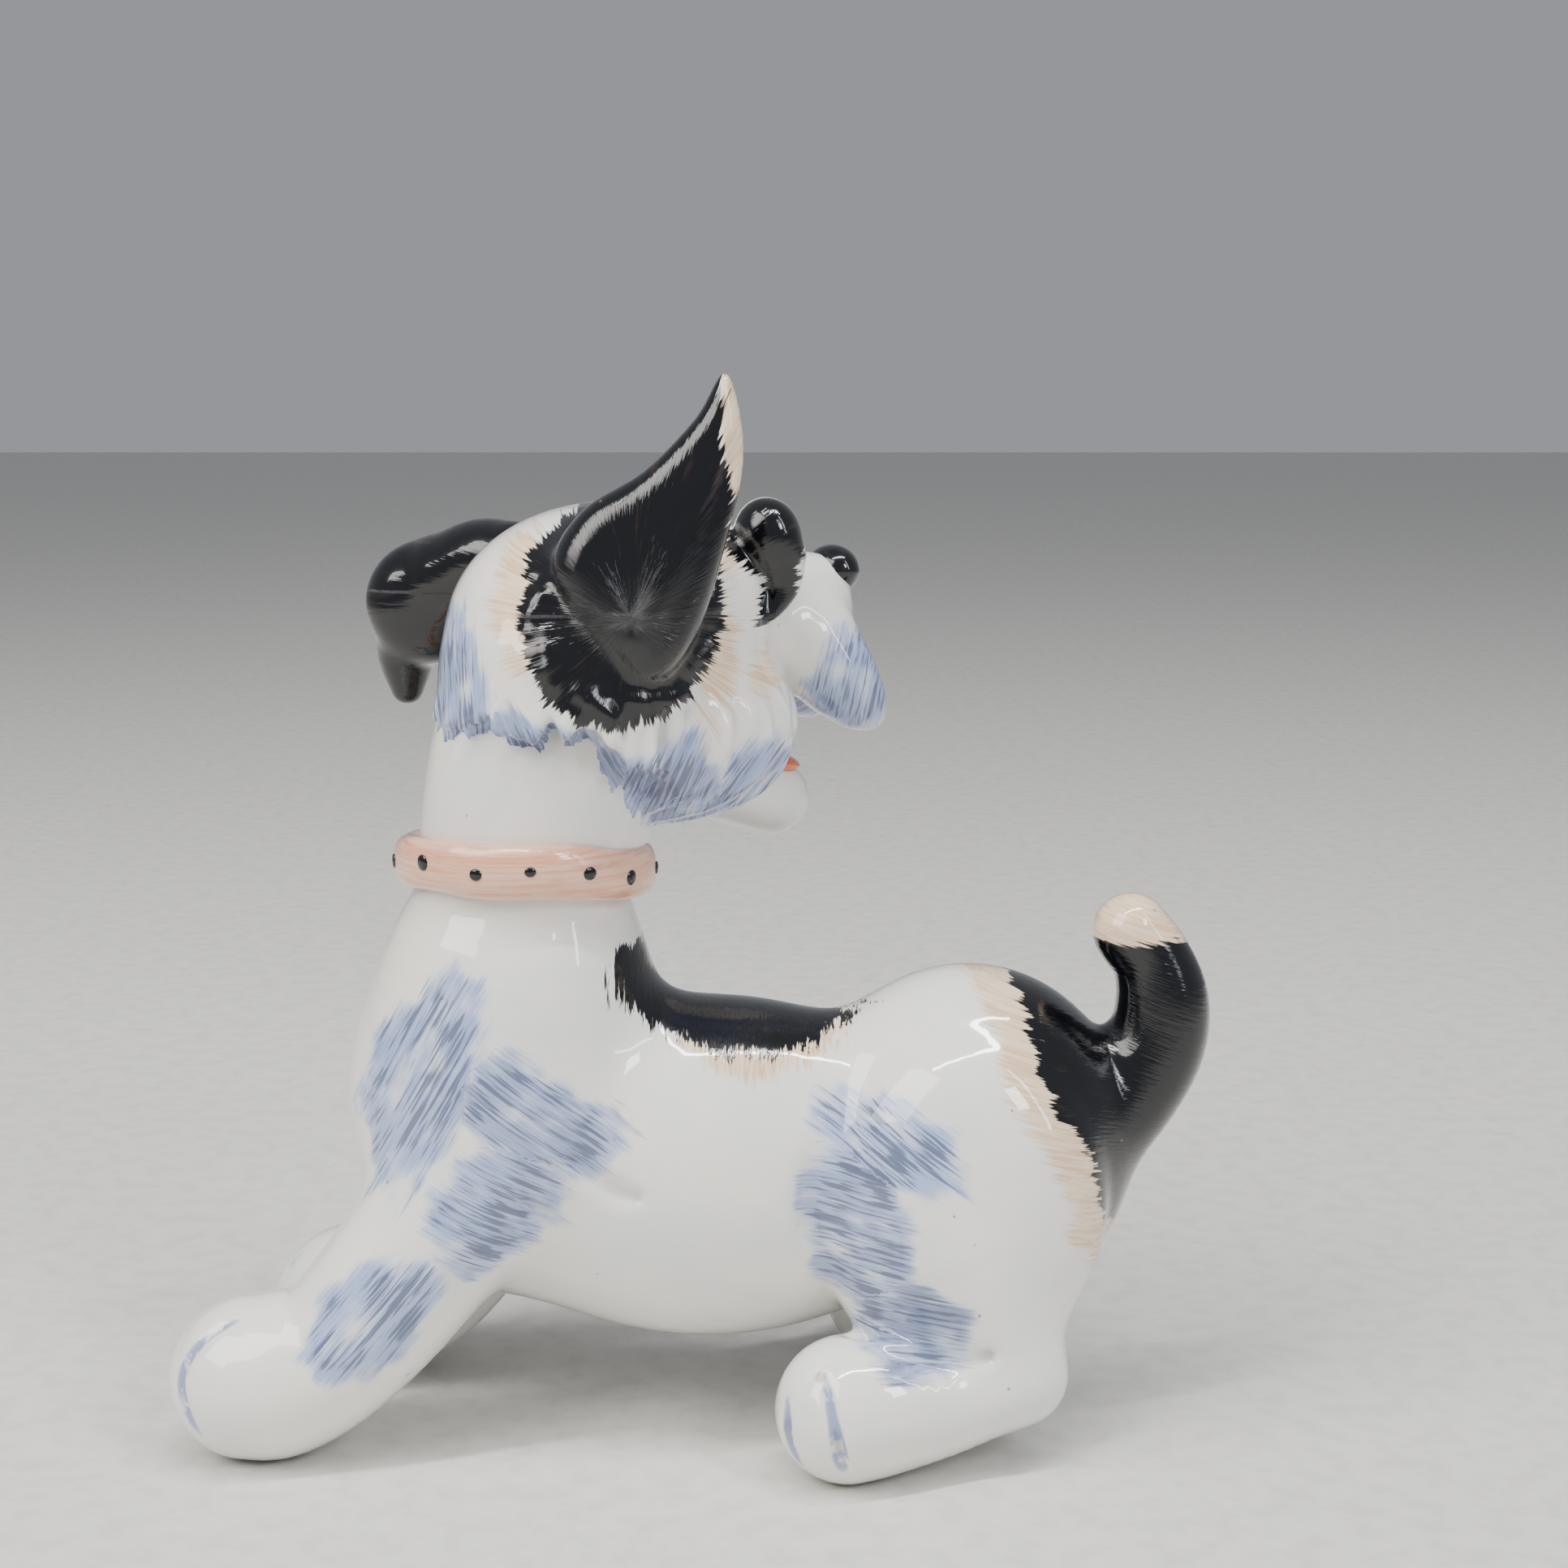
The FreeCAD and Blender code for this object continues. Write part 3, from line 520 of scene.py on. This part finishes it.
def bluePaint(p):
    # how far each point is outside the blue, how grey it is there, and the way the strokes run
    x, y, z = p.T
    onBody, near = z < collarHeight, y < headSide
    # the head is painted alike on both sides: fold it over its own mid-plane
    folded = headAxes(p)
    folded[:, 1] = -np.abs(folded[:, 1])
    folded = np.where((onBody | near)[:, None], p, turned(folded, headYaw) + headMiddle)
    fx, fz = folded[:, 0], folded[:, 2]
    blue, grey, stroke = np.full(len(p), far), np.zeros(len(p)), np.stack([x, z, y], 1)
    onFace = np.minimum(part["head"], part["muzzle"]) < 2
    onJaw = part["jaw"] < np.minimum(part["head"], 2)
    for patch, slope, shade in markings["blues"]:
        d = np.where((onBody | onFace) & ~onJaw, oval(fx, fz, *patch), far)
        best = d < blue
        blue = np.where(best, d, blue)
        grey = np.where(best, shade, grey)
        a = math.radians(slope)
        across = fx * math.sin(a) - fz * math.cos(a)
        along = fx * math.cos(a) + fz * math.sin(a)
        stroke = np.where(best[:, None], np.stack([across, along, y], 1), stroke)
    return blue, grey, stroke


def hairLie(p):
    # the way the painted hairs run at the edge of the black: round the ear, down the back, over the rump
    x, y, z = p.T
    around, reach = np.arctan2(z - 155, x + 10), np.hypot(z - 155, x + 10)
    ringHair = np.stack([around * 22, reach, y * 0.3], 1)
    backHair = np.stack([x, z, y], 1)
    rumpHair = np.stack([z + x * 0.35, x, y * 0.6], 1)
    return np.where((z < collarHeight)[:, None], np.where((x > 45)[:, None], rumpHair, backHair), ringHair)


print("painting")
black, cream = furPaint(skin)
blue, grey, stroke = bluePaint(skin)
toes = np.full(len(skin), 9.0)
for side in (-1, 1):
    toes = np.minimum(toes, inChunks(lambda p: forepawToes(p, side), skin))
    toes = np.minimum(toes, inChunks(lambda p: hindPawToes(p, side), skin))
stainSpots = [((23, -37, 22), 1.3), ((-71, -29, 29), 0.9), ((38, -28, 33), 0.7),
              ((39, -28, 29), 0.7), ((-52, -26, 18), 0.8)]
stain = np.min([ball(skin, spot, radius) for spot, radius in stainSpots], axis=0)
painted = {"black": black, "cream": cream, "blue": blue, "grey": grey, "toes": toes, "stain": stain,
           "hollow": hollow, "hair": hairLie(skin), "stroke": stroke}


def colour(code):
    # sRGB hex to linear
    channels = [int(code[k:k + 2], 16) / 255 for k in (1, 3, 5)]
    return tuple(c / 12.92 if c <= 0.04045 else ((c + 0.055) / 1.055) ** 2.4 for c in channels) + (1.0,)


def node(tree, kind, links=None, out=0, **settings):
    # adds a node and gives back one of its outputs; links and plain values for its inputs are in one dictionary
    made = tree.nodes.new(kind)
    for name, value in settings.items():
        setattr(made, name, value)
    for name, value in (links or {}).items():
        if isinstance(value, bpy.types.NodeSocket):
            tree.links.new(value, made.inputs[name])
        else:
            made.inputs[name].default_value = value
    return made.outputs[out] if made.outputs else made


def total(tree, start, *shares):
    # start plus each value times its weight
    for value, weight in shares:
        start = node(tree, "ShaderNodeMath", {0: value, 1: weight, 2: start}, operation="MULTIPLY_ADD")
    return start


def coats(tree, base, *layers):
    # lays colours one over another: what decides the coat, where it starts and is full, its strength, its colour
    for value, start, full, strength, over in layers:
        amount = node(tree, "ShaderNodeMapRange", {"Value": value, "From Min": start, "From Max": full,
                                                   "To Max": strength}, interpolation_type="SMOOTHSTEP")
        base = node(tree, "ShaderNodeMix", {0: amount, 6: base, 7: over}, out=2, data_type="RGBA")
    return base


def grain(tree, where, size, detail=3.0, rough=0.55):
    # noise whose blobs are these sizes in millimetres along each axis of a millimetre vector
    scaled = node(tree, "ShaderNodeVectorMath", {0: where, 1: [1 / s for s in size]}, operation="MULTIPLY")
    return node(tree, "ShaderNodeTexNoise", {"Vector": scaled, "Scale": 1.0, "Detail": detail,
                                             "Roughness": rough}, out="Fac")


def newMaterial(name):
    # with it comes the place on the piece in millimetres, for patterns of a real size
    material = bpy.data.materials.new(name)
    material.use_nodes = True
    tree = material.node_tree
    tree.nodes.clear()
    where = node(tree, "ShaderNodeTexCoord", out="Object")
    return material, tree, node(tree, "ShaderNodeVectorMath", {0: where, "Scale": 1000.0}, operation="SCALE")


def glazed(tree, base, relief, strength, depthMm, roughness=0.16):
    # clear lead-style glaze over the painted clay: a sharp wet highlight
    bump = node(tree, "ShaderNodeBump", {"Height": relief, "Strength": strength, "Distance": depthMm / 1000})
    shader = node(tree, "ShaderNodeBsdfPrincipled",
                  {"Base Color": base, "Roughness": roughness, "IOR": 1.5, "Specular IOR Level": 0.15,
                   "Coat Weight": 1.0, "Coat Roughness": 0.02, "Coat IOR": 1.5, "Normal": bump,
                   "Coat Normal": bump})
    node(tree, "ShaderNodeOutputMaterial", {"Surface": shader})


# Hand-painted earthenware: off-white body under clear glaze, black and cream fur with hairy edges,
# dry-brushed blue strokes, and grey painted shade in the hollows, where the glaze also pools.
glaze = {"white": "#F0EDE4", "cool": "#E6E6E3", "hollowShade": "#A9A8A4", "blue": "#A3B5E0", "deepBlue": "#6B80B8",
         "slate": "#565D74", "cream": "#EFD2A9", "tan": "#DBA873", "black": "#0A0B0F", "worn": "#3A2C26",
         "brown": "#8A6143"}


def earthenware():
    material, tree, mm = newMaterial("hand_painted_earthenware_glaze")
    paint = {name: colour(code) for name, code in glaze.items()}
    laid = {name: node(tree, "ShaderNodeAttribute", out="Fac" if data.ndim == 1 else "Vector", attribute_name=name)
            for name, data in painted.items()}

    # dry-brushed blue: thin streaks of a half-loaded brush, in a patchy wash
    streak = grain(tree, laid["stroke"], (0.5, 14, 5), 4.0, 0.65)
    broad = grain(tree, laid["stroke"], (4.0, 12, 9), 2.0)
    inside = node(tree, "ShaderNodeClamp", {"Value": total(tree, -0.15, (laid["blue"], -0.075)),
                                            "Min": -0.75, "Max": -0.01})
    depth = total(tree, inside, (grain(tree, mm, (8, 8, 8), 1.0), 0.5))
    washed = node(tree, "ShaderNodeMapRange", {"Value": streak, "From Min": 0.20, "From Max": 0.45, "To Max": 0.7},
                  interpolation_type="SMOOTHSTEP")
    greyed = node(tree, "ShaderNodeMath", {0: laid["grey"], 1: 0.75}, operation="MULTIPLY")
    tint = node(tree, "ShaderNodeMix", {0: greyed, 6: coats(tree, paint["blue"], (streak, 0.48, 0.70, 0.8,
                                                                                  paint["deepBlue"])),
                                        7: paint["slate"]}, out=2, data_type="RGBA")

    # painted hairs at the edges of the cream and black
    fine = grain(tree, laid["hair"], (0.55, 16, 3), 3.0, 0.62)
    ragged = total(tree, -5.5, (fine, 6.0), (grain(tree, laid["hair"], (3.6, 30, 6), 2.0), 5.0))
    creamTone = coats(tree, paint["cream"], (fine, 0.42, 0.62, 1.0, paint["tan"]))
    blackIn = total(tree, ragged, (laid["black"], -1))
    blackTone = coats(tree, paint["black"], (grain(tree, laid["hair"], (1.2, 10, 4)), 0.60, 0.78, 0.5,
                                             paint["worn"]))

    # slate lines in the toe grooves, broken where the brush skipped; fired-in specks and a few brown stains
    brushed = node(tree, "ShaderNodeMapRange", {"Value": grain(tree, mm, (4, 4, 4)), "From Min": 0.38,
                                                "From Max": 0.5, "To Max": 0.75}, interpolation_type="SMOOTHSTEP")
    speck = node(tree, "ShaderNodeTexVoronoi", {"Vector": mm, "Scale": 0.09, "Randomness": 1.0}, out="Distance")
    surface = coats(
        tree, paint["white"],
        (grain(tree, mm, (22, 22, 22)), 0.35, 0.7, 1.0, paint["cool"]),  # soft cloudiness of the white
        # grey painted shade in the hollows, where the glaze also pools
        (laid["hollow"], 0.012, 0.10, 0.5, paint["hollowShade"]),
        (total(tree, depth, (broad, 0.45)), 0.20, 0.42, washed, paint["blue"]),
        (total(tree, depth, (broad, 0.8), (streak, 0.65)), 0.74, 1.02, 0.8, tint),
        (total(tree, depth, (grain(tree, laid["stroke"], (0.5, 12, 5), 2.0), 1.0)), 0.72, 0.84, 0.8,
         paint["slate"]),  # a few loaded dark streaks
        (total(tree, ragged, (laid["cream"], -1)), -0.2, 2.4, 0.72, creamTone),
        (blackIn, 0.0, 0.5, 1.0, blackTone),
        (laid["toes"], 0.5, 0.0, brushed, paint["deepBlue"]),
        (speck, 0.032, 0.018, 0.75, paint["brown"]),
        (total(tree, laid["stain"], (grain(tree, mm, (1, 1, 1)), 1.2)), 0.6, 0.1, 0.6, paint["brown"]))

    # glaze surface: slow waves, and black paint that stands a hair proud
    proud = node(tree, "ShaderNodeMapRange", {"Value": blackIn, "From Min": 0.0, "From Max": 0.5, "To Max": 0.12},
                 interpolation_type="SMOOTHSTEP")
    relief = total(tree, 0.0, (fine, proud), (grain(tree, mm, (9, 9, 9), 2.0), 0.16))
    glazed(tree, surface, relief, 0.8, 1.0)
    return material


glazeMaterial = earthenware()


def toWorld(points):
    return (np.asarray(points) + np.array(midBody)) / 1000


def meshPiece(name, points, faces, material, nodes, values=None, vertexNormals=None):
    mesh = bpy.data.meshes.new(name)
    mesh.from_pydata(toWorld(points).tolist(), [], faces)
    mesh.polygons.foreach_set("use_smooth", [True] * len(mesh.polygons))
    for label, data in (values or {}).items():
        data = np.asarray(data, np.float32)
        kind, key = ("FLOAT", "value") if data.ndim == 1 else ("FLOAT_VECTOR", "vector")
        layer = mesh.attributes.new(label, kind, "POINT")
        layer.data.foreach_set(key, data.ravel())
    if vertexNormals is not None:
        mesh.normals_split_custom_set_from_vertices(vertexNormals.tolist())
    mesh.materials.append(material)
    piece = bpy.data.objects.new(name, mesh)
    bpy.context.scene.collection.objects.link(piece)
    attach(piece, "root")
    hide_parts(*nodes)


def capped(faces, points, inward):
    # closes each open rim with a fan to a point just inside
    pairs = np.concatenate([faces[:, [k, (k + 1) % 4]] for k in range(4)])
    have = {(int(a), int(b)) for a, b in pairs}
    rim = [(a, b) for a, b in sorted(have) if (b, a) not in have]
    group = {}

    def root(v):
        while group.setdefault(v, v) != v:
            v = group[v]
        return v

    for a, b in rim:
        group[root(a)] = root(b)
    loops = {}
    for a, b in rim:
        loops.setdefault(root(a), []).append((a, b))
    extra, fans = [], []
    for loop in loops.values():
        on = [a for a, _ in loop]
        centre = len(points) + len(extra)
        extra.append((points[on].mean(0) - 1.5 * inward[on].mean(0), inward[on].mean(0), on[0]))
        fans += [(b, a, centre) for a, b in loop]
    return extra, fans


print("castings")
for number, (nodeName, slotName) in enumerate(castings.values()):
    own = quads[owner == number]
    used, packed = np.unique(own, return_inverse=True)
    packed = packed.reshape(-1, 4)
    extra, fans = capped(packed, skin[used], normals[used])
    points = np.vstack([skin[used]] + [e[0][None] for e in extra])
    facing = np.vstack([normals[used]] + [e[1][None] for e in extra])
    source = np.concatenate([used, [used[e[2]] for e in extra]]).astype(int)
    values = {key: data[source] for key, data in painted.items()}
    meshPiece(nodeName + "_skin", points, packed.tolist() + fans, glazeMaterial, [nodeName],
              values, facing)
    print(" ", nodeName, len(own))


def roundBody(radii, rings=28, around=48, shape=None):
    # an egg in its own axes, poles on its X axis; shape may reshape the points
    points = [(radii[0], 0, 0)]
    for i in range(1, rings):
        a = math.pi * i / rings
        for j in range(around):
            b = 2 * math.pi * j / around
            points.append((radii[0] * math.cos(a), radii[1] * math.sin(a) * math.cos(b),
                           radii[2] * math.sin(a) * math.sin(b)))
    points.append((-radii[0], 0, 0))
    faces = [(0, 1 + j, 1 + (j + 1) % around) for j in range(around)]
    for i in range(rings - 2):
        for j in range(around):
            a, b = 1 + i * around + j, 1 + i * around + (j + 1) % around
            faces.append((a, a + around, b + around, b))
    last = len(points) - 1
    base = 1 + (rings - 2) * around
    faces += [(base + j, last, base + (j + 1) % around) for j in range(around)]
    points = np.array(points, float)
    return (shape(points) if shape else points), faces


def onHead(points, middle):
    # from the head's axes to the figure's, about a place given in the figure
    return turned(points, headYaw) + np.array(middle)


def placeOf(name):
    low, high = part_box(name)
    return (np.array(low) + np.array(high)) * 500 - np.array(midBody)


# Nose: a black button with two thumb-nail nostrils.
nose = {"size": (5.0, 6.5, 5.2), "place": (47.2, 0, 10.9), "nostril": (4.6, 2.8, 0.4), "nostrilDepth": 1.3,
        "nostrilWidth": 1.3, "colour": "#0A0A0D", "sheen": "#1D1B20"}


def noseShape(points):
    for side in (-1, 1):
        gap = np.linalg.norm(points - np.array(sided(nose["nostril"], side)), axis=1)
        points[:, 0] -= nose["nostrilDepth"] * np.exp(-(gap / nose["nostrilWidth"]) ** 2)
    points[:, 1] *= 1 - 0.05 * (points[:, 2] < 0) * np.abs(points[:, 2])
    return points


def enamel():
    # thick black enamel, slightly uneven, under the clear glaze
    material, tree, mm = newMaterial("black_enamel_dots_and_nose")
    tone = coats(tree, colour(nose["colour"]), (grain(tree, mm, (1.6, 1.6, 1.6)), 0.5, 0.75, 0.6,
                                                colour(nose["sheen"])))
    glazed(tree, tone, grain(tree, mm, (2.5, 2.5, 2.5), 2.0), 0.6, 0.06, 0.2)
    return material


blackEnamel = enamel()
points, faces = roundBody(nose["size"], shape=noseShape)
nosePlace = headMiddle + turned(np.array([nose["place"]]), headYaw)[0]
meshPiece("nose_button_enamel", onHead(points, nosePlace), faces, blackEnamel, ["nose_button"])

# Tongue: a flat orange-red lip between muzzle and chin.
tongue = {"size": (8.6, 6.2, 2.3), "lean": 14, "setback": 1.2, "red": "#C8452B", "orange": "#E0733F"}


def tongueMaterial():
    # two glazes run together: mottled, with shallow grooves from back to front
    material, tree, mm = newMaterial("orange_red_tongue_glaze")
    tone = coats(tree, colour(tongue["red"]), (grain(tree, mm, (3, 3, 3)), 0.4, 0.65, 1.0,
                                               colour(tongue["orange"])))
    glazed(tree, tone, grain(tree, mm, (4, 1.2, 4)), 0.4, 0.2)
    return material


points, faces = roundBody(tongue["size"])
lean = math.radians(tongue["lean"])
points = np.stack([points[:, 0] * math.cos(lean) + points[:, 2] * math.sin(lean), points[:, 1],
                   -points[:, 0] * math.sin(lean) + points[:, 2] * math.cos(lean)], 1)
meshPiece("tongue_glazed", onHead(points - np.array((tongue["setback"], 0, 0)), placeOf("tongue")), faces,
          tongueMaterial(), ["tongue"])

# Eyes: white balls under the brows, with a dark iris looking forward and a little out.
eye = {"size": (5.0, 5.0, 5.2), "look": (0.88, 0.47, 0.05), "iris": 2.9, "pupilSize": 1.65, "edge": 0.15,
       "white": "#EDEAE2", "brown": "#2B1A12", "pupil": "#08070A"}


def eyeMaterial():
    # white enamel with an iris painted by hand, so its edge wavers
    material, tree, mm = newMaterial("painted_eye_glaze")
    gap = total(tree, -0.4, (grain(tree, mm, (0.9, 0.9, 0.9)), 0.8),
                (node(tree, "ShaderNodeAttribute", out="Fac", attribute_name="iris"), 1.0))
    rings = [(gap, size + eye["edge"], size - eye["edge"], 1.0, colour(paint))
             for size, paint in ((eye["iris"], eye["brown"]), (eye["pupilSize"], eye["pupil"]))]
    glazed(tree, coats(tree, colour(eye["white"]), *rings), grain(tree, mm, (3, 3, 3)), 0.3, 0.1)
    return material


eyeGlaze = eyeMaterial()
for name, side in (("right_eye", -1), ("left_eye", 1)):
    points, faces = roundBody(eye["size"])
    look = np.array(sided(eye["look"], side)) * eye["size"][0]
    iris = np.linalg.norm(points - look, axis=1)
    meshPiece(name + "_painted", onHead(points, placeOf(name)), faces, eyeGlaze, [name],
              {"iris": iris})

# Collar: a rolled strip of clay pressed round the neck, brushed with peach glaze.
collar = {"middle": (-31.5, 0.0, 107.0), "radius": 21.3, "thick": 3.0, "half": 4.9, "tilt": (-0.05, -0.13),
          "peach": "#E3A385", "pale": "#EBBDA3", "deep": "#CB8566"}


def collarPoint(turn, up):
    # turn goes round the neck, up goes round the strip's section
    wobble = 0.35 * math.sin(3 * turn + 0.5) + 0.22 * math.sin(7 * turn + 2)
    c, s = math.cos(up), math.sin(up)
    r = collar["radius"] + collar["thick"] * math.copysign(abs(c) ** 0.8, c) + 0.3 * wobble
    x, y = r * math.cos(turn), r * math.sin(turn)
    high = (collar["half"] + 0.25 * wobble) * math.copysign(abs(s) ** 0.85, s)
    return (collar["middle"][0] + x, collar["middle"][1] + y,
            collar["middle"][2] + high + collar["tilt"][1] * y + collar["tilt"][0] * x
            + 0.25 * math.sin(5 * turn + 1))


def collarGlaze():
    # peach glaze brushed round and round: fine level streaks, darker where two strokes meet
    material, tree, mm = newMaterial("brushed_peach_collar_glaze")
    brush = grain(tree, mm, (16, 16, 0.7), 3.0, 0.6)
    tone = coats(tree, colour(collar["peach"]), (brush, 0.36, 0.6, 1.0, colour(collar["pale"])),
                 (grain(tree, mm, (9, 9, 2)), 0.55, 0.75, 0.6, colour(collar["deep"])))
    glazed(tree, tone, brush, 0.5, 0.3)
    return material


turns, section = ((180, 28))
points, faces = [], []
for i in range(turns):
    for j in range(section):
        here, ahead, up = i * section, (i + 1) % turns * section, (j + 1) % section
        points.append(collarPoint(2 * math.pi * i / turns, 2 * math.pi * j / section))
        faces.append((here + j, ahead + j, ahead + up, here + up))
meshPiece("collar_band_glazed", points, faces, collarGlaze(), ["collar_band"])

# Studs: twelve dabs of black, spaced as listed; the angles go round the neck, and no two dabs are quite alike.
dots = {"angles": [-165, -133, -105, -82, -56, -32, -3, 25, 54, 84, 115, 146], "radius": 1.22, "uneven": 0.18,
        "proud": 0.4, "drift": 0.06}
points, faces = [], []
for number, angle in enumerate(dots["angles"]):
    turn = math.radians(angle)
    drift = dots["drift"] * math.sin(number * 2.3)
    size = dots["radius"] + dots["uneven"] * math.sin(number * 1.7)
    base = np.array(collarPoint(turn, drift))
    out = np.array((math.cos(turn), math.sin(turn), 0.0))
    dab, dabFaces = roundBody((dots["proud"], size, size * (1 + 0.12 * math.cos(number))), 10, 20)
    across = np.array((-out[1], out[0], 0.0))
    placed = base + dab[:, :1] * out + dab[:, 1:2] * across + dab[:, 2:] * np.array((0, 0, 1.0))
    faces += [tuple(v + len(points) for v in face) for face in dabFaces]
    points += placed.tolist()
meshPiece("collar_dots_enamel", points, faces, blackEnamel, ["collar_dots"])

# Floor, light and camera.
print("stage")
studio = {"floor": "#D9D7D2", "speckle": "#CFCDC8", "wall": "#BFC2C8", "wallLight": 0.62, "halfFloor": 6.0,
          "aim": (0.0, 0.0, 0.08),
          # each lamp: place and size in metres, watts, colour
          "lamps": {"large_soft_box": ((-0.75, -0.55, 0.95), (0.8, 0.8), 17.0, "#FFFDF8"),
                    "overhead_tube": ((0.1, -0.25, 1.3), (1.1, 0.05), 13.0, "#FFFFFF"),
                    "window": ((0.75, -0.75, 0.8), (0.22, 0.34), 5.0, "#F7FAFF"),
                    "side_tube": ((0.9, -0.5, 0.8), (0.05, 0.9), 2.6, "#F4F8FF")}}
lens = {"mm": 55.9, "pitch": 9.5, "target": (16.5, 0, 122), "away": 0.45}

mesh = bpy.data.meshes.new("pale_floor")
half = studio["halfFloor"]
corners = [(x * half, y * half, 0) for x, y in ((-1, -1), (1, -1), (1, 1), (-1, 1))]
mesh.from_pydata(corners, [], [(0, 1, 2, 3)])
floorMaterial, tree, mm = newMaterial("pale_matt_board")  # painted board, rolled: a faint speckle
tone = coats(tree, colour(studio["floor"]), (grain(tree, mm, (6, 6, 6)), 0.4, 0.7, 1.0, colour(studio["speckle"])))
board = node(tree, "ShaderNodeBsdfPrincipled", {"Base Color": tone, "Roughness": 0.7, "Specular IOR Level": 0.25})
node(tree, "ShaderNodeOutputMaterial", {"Surface": board})
mesh.materials.append(floorMaterial)
floor = bpy.data.objects.new("pale_floor", mesh)
bpy.context.scene.collection.objects.link(floor)

world = bpy.data.worlds.new("studio")
world.use_nodes = True
world.node_tree.nodes["Background"].inputs[0].default_value = colour(studio["wall"])
world.node_tree.nodes["Background"].inputs[1].default_value = studio["wallLight"]
bpy.context.scene.world = world


def lamp(name, place, size, watts, tint):
    data = bpy.data.lights.new(name, "AREA")
    data.shape = "RECTANGLE"
    data.size, data.size_y = size
    data.energy = watts
    data.color = colour(tint)[:3]
    light = bpy.data.objects.new(name, data)
    light.location = place
    light.rotation_euler = (Vector(studio["aim"]) - Vector(place)).to_track_quat("-Z", "Y").to_euler()
    bpy.context.scene.collection.objects.link(light)


for name, settings in studio["lamps"].items():
    lamp(name, *settings)

camera = bpy.data.objects.new("camera", bpy.data.cameras.new("camera"))
camera.data.lens = lens["mm"]
camera.data.sensor_width = 36
camera.data.clip_start = 0.01
pitch = math.radians(lens["pitch"])
target = Vector(toWorld(lens["target"]))
camera.location = target - lens["away"] * Vector((0, math.cos(pitch), -math.sin(pitch)))
camera.rotation_euler = (math.pi / 2 - pitch, 0, 0)
bpy.context.scene.collection.objects.link(camera)
bpy.context.scene.camera = camera
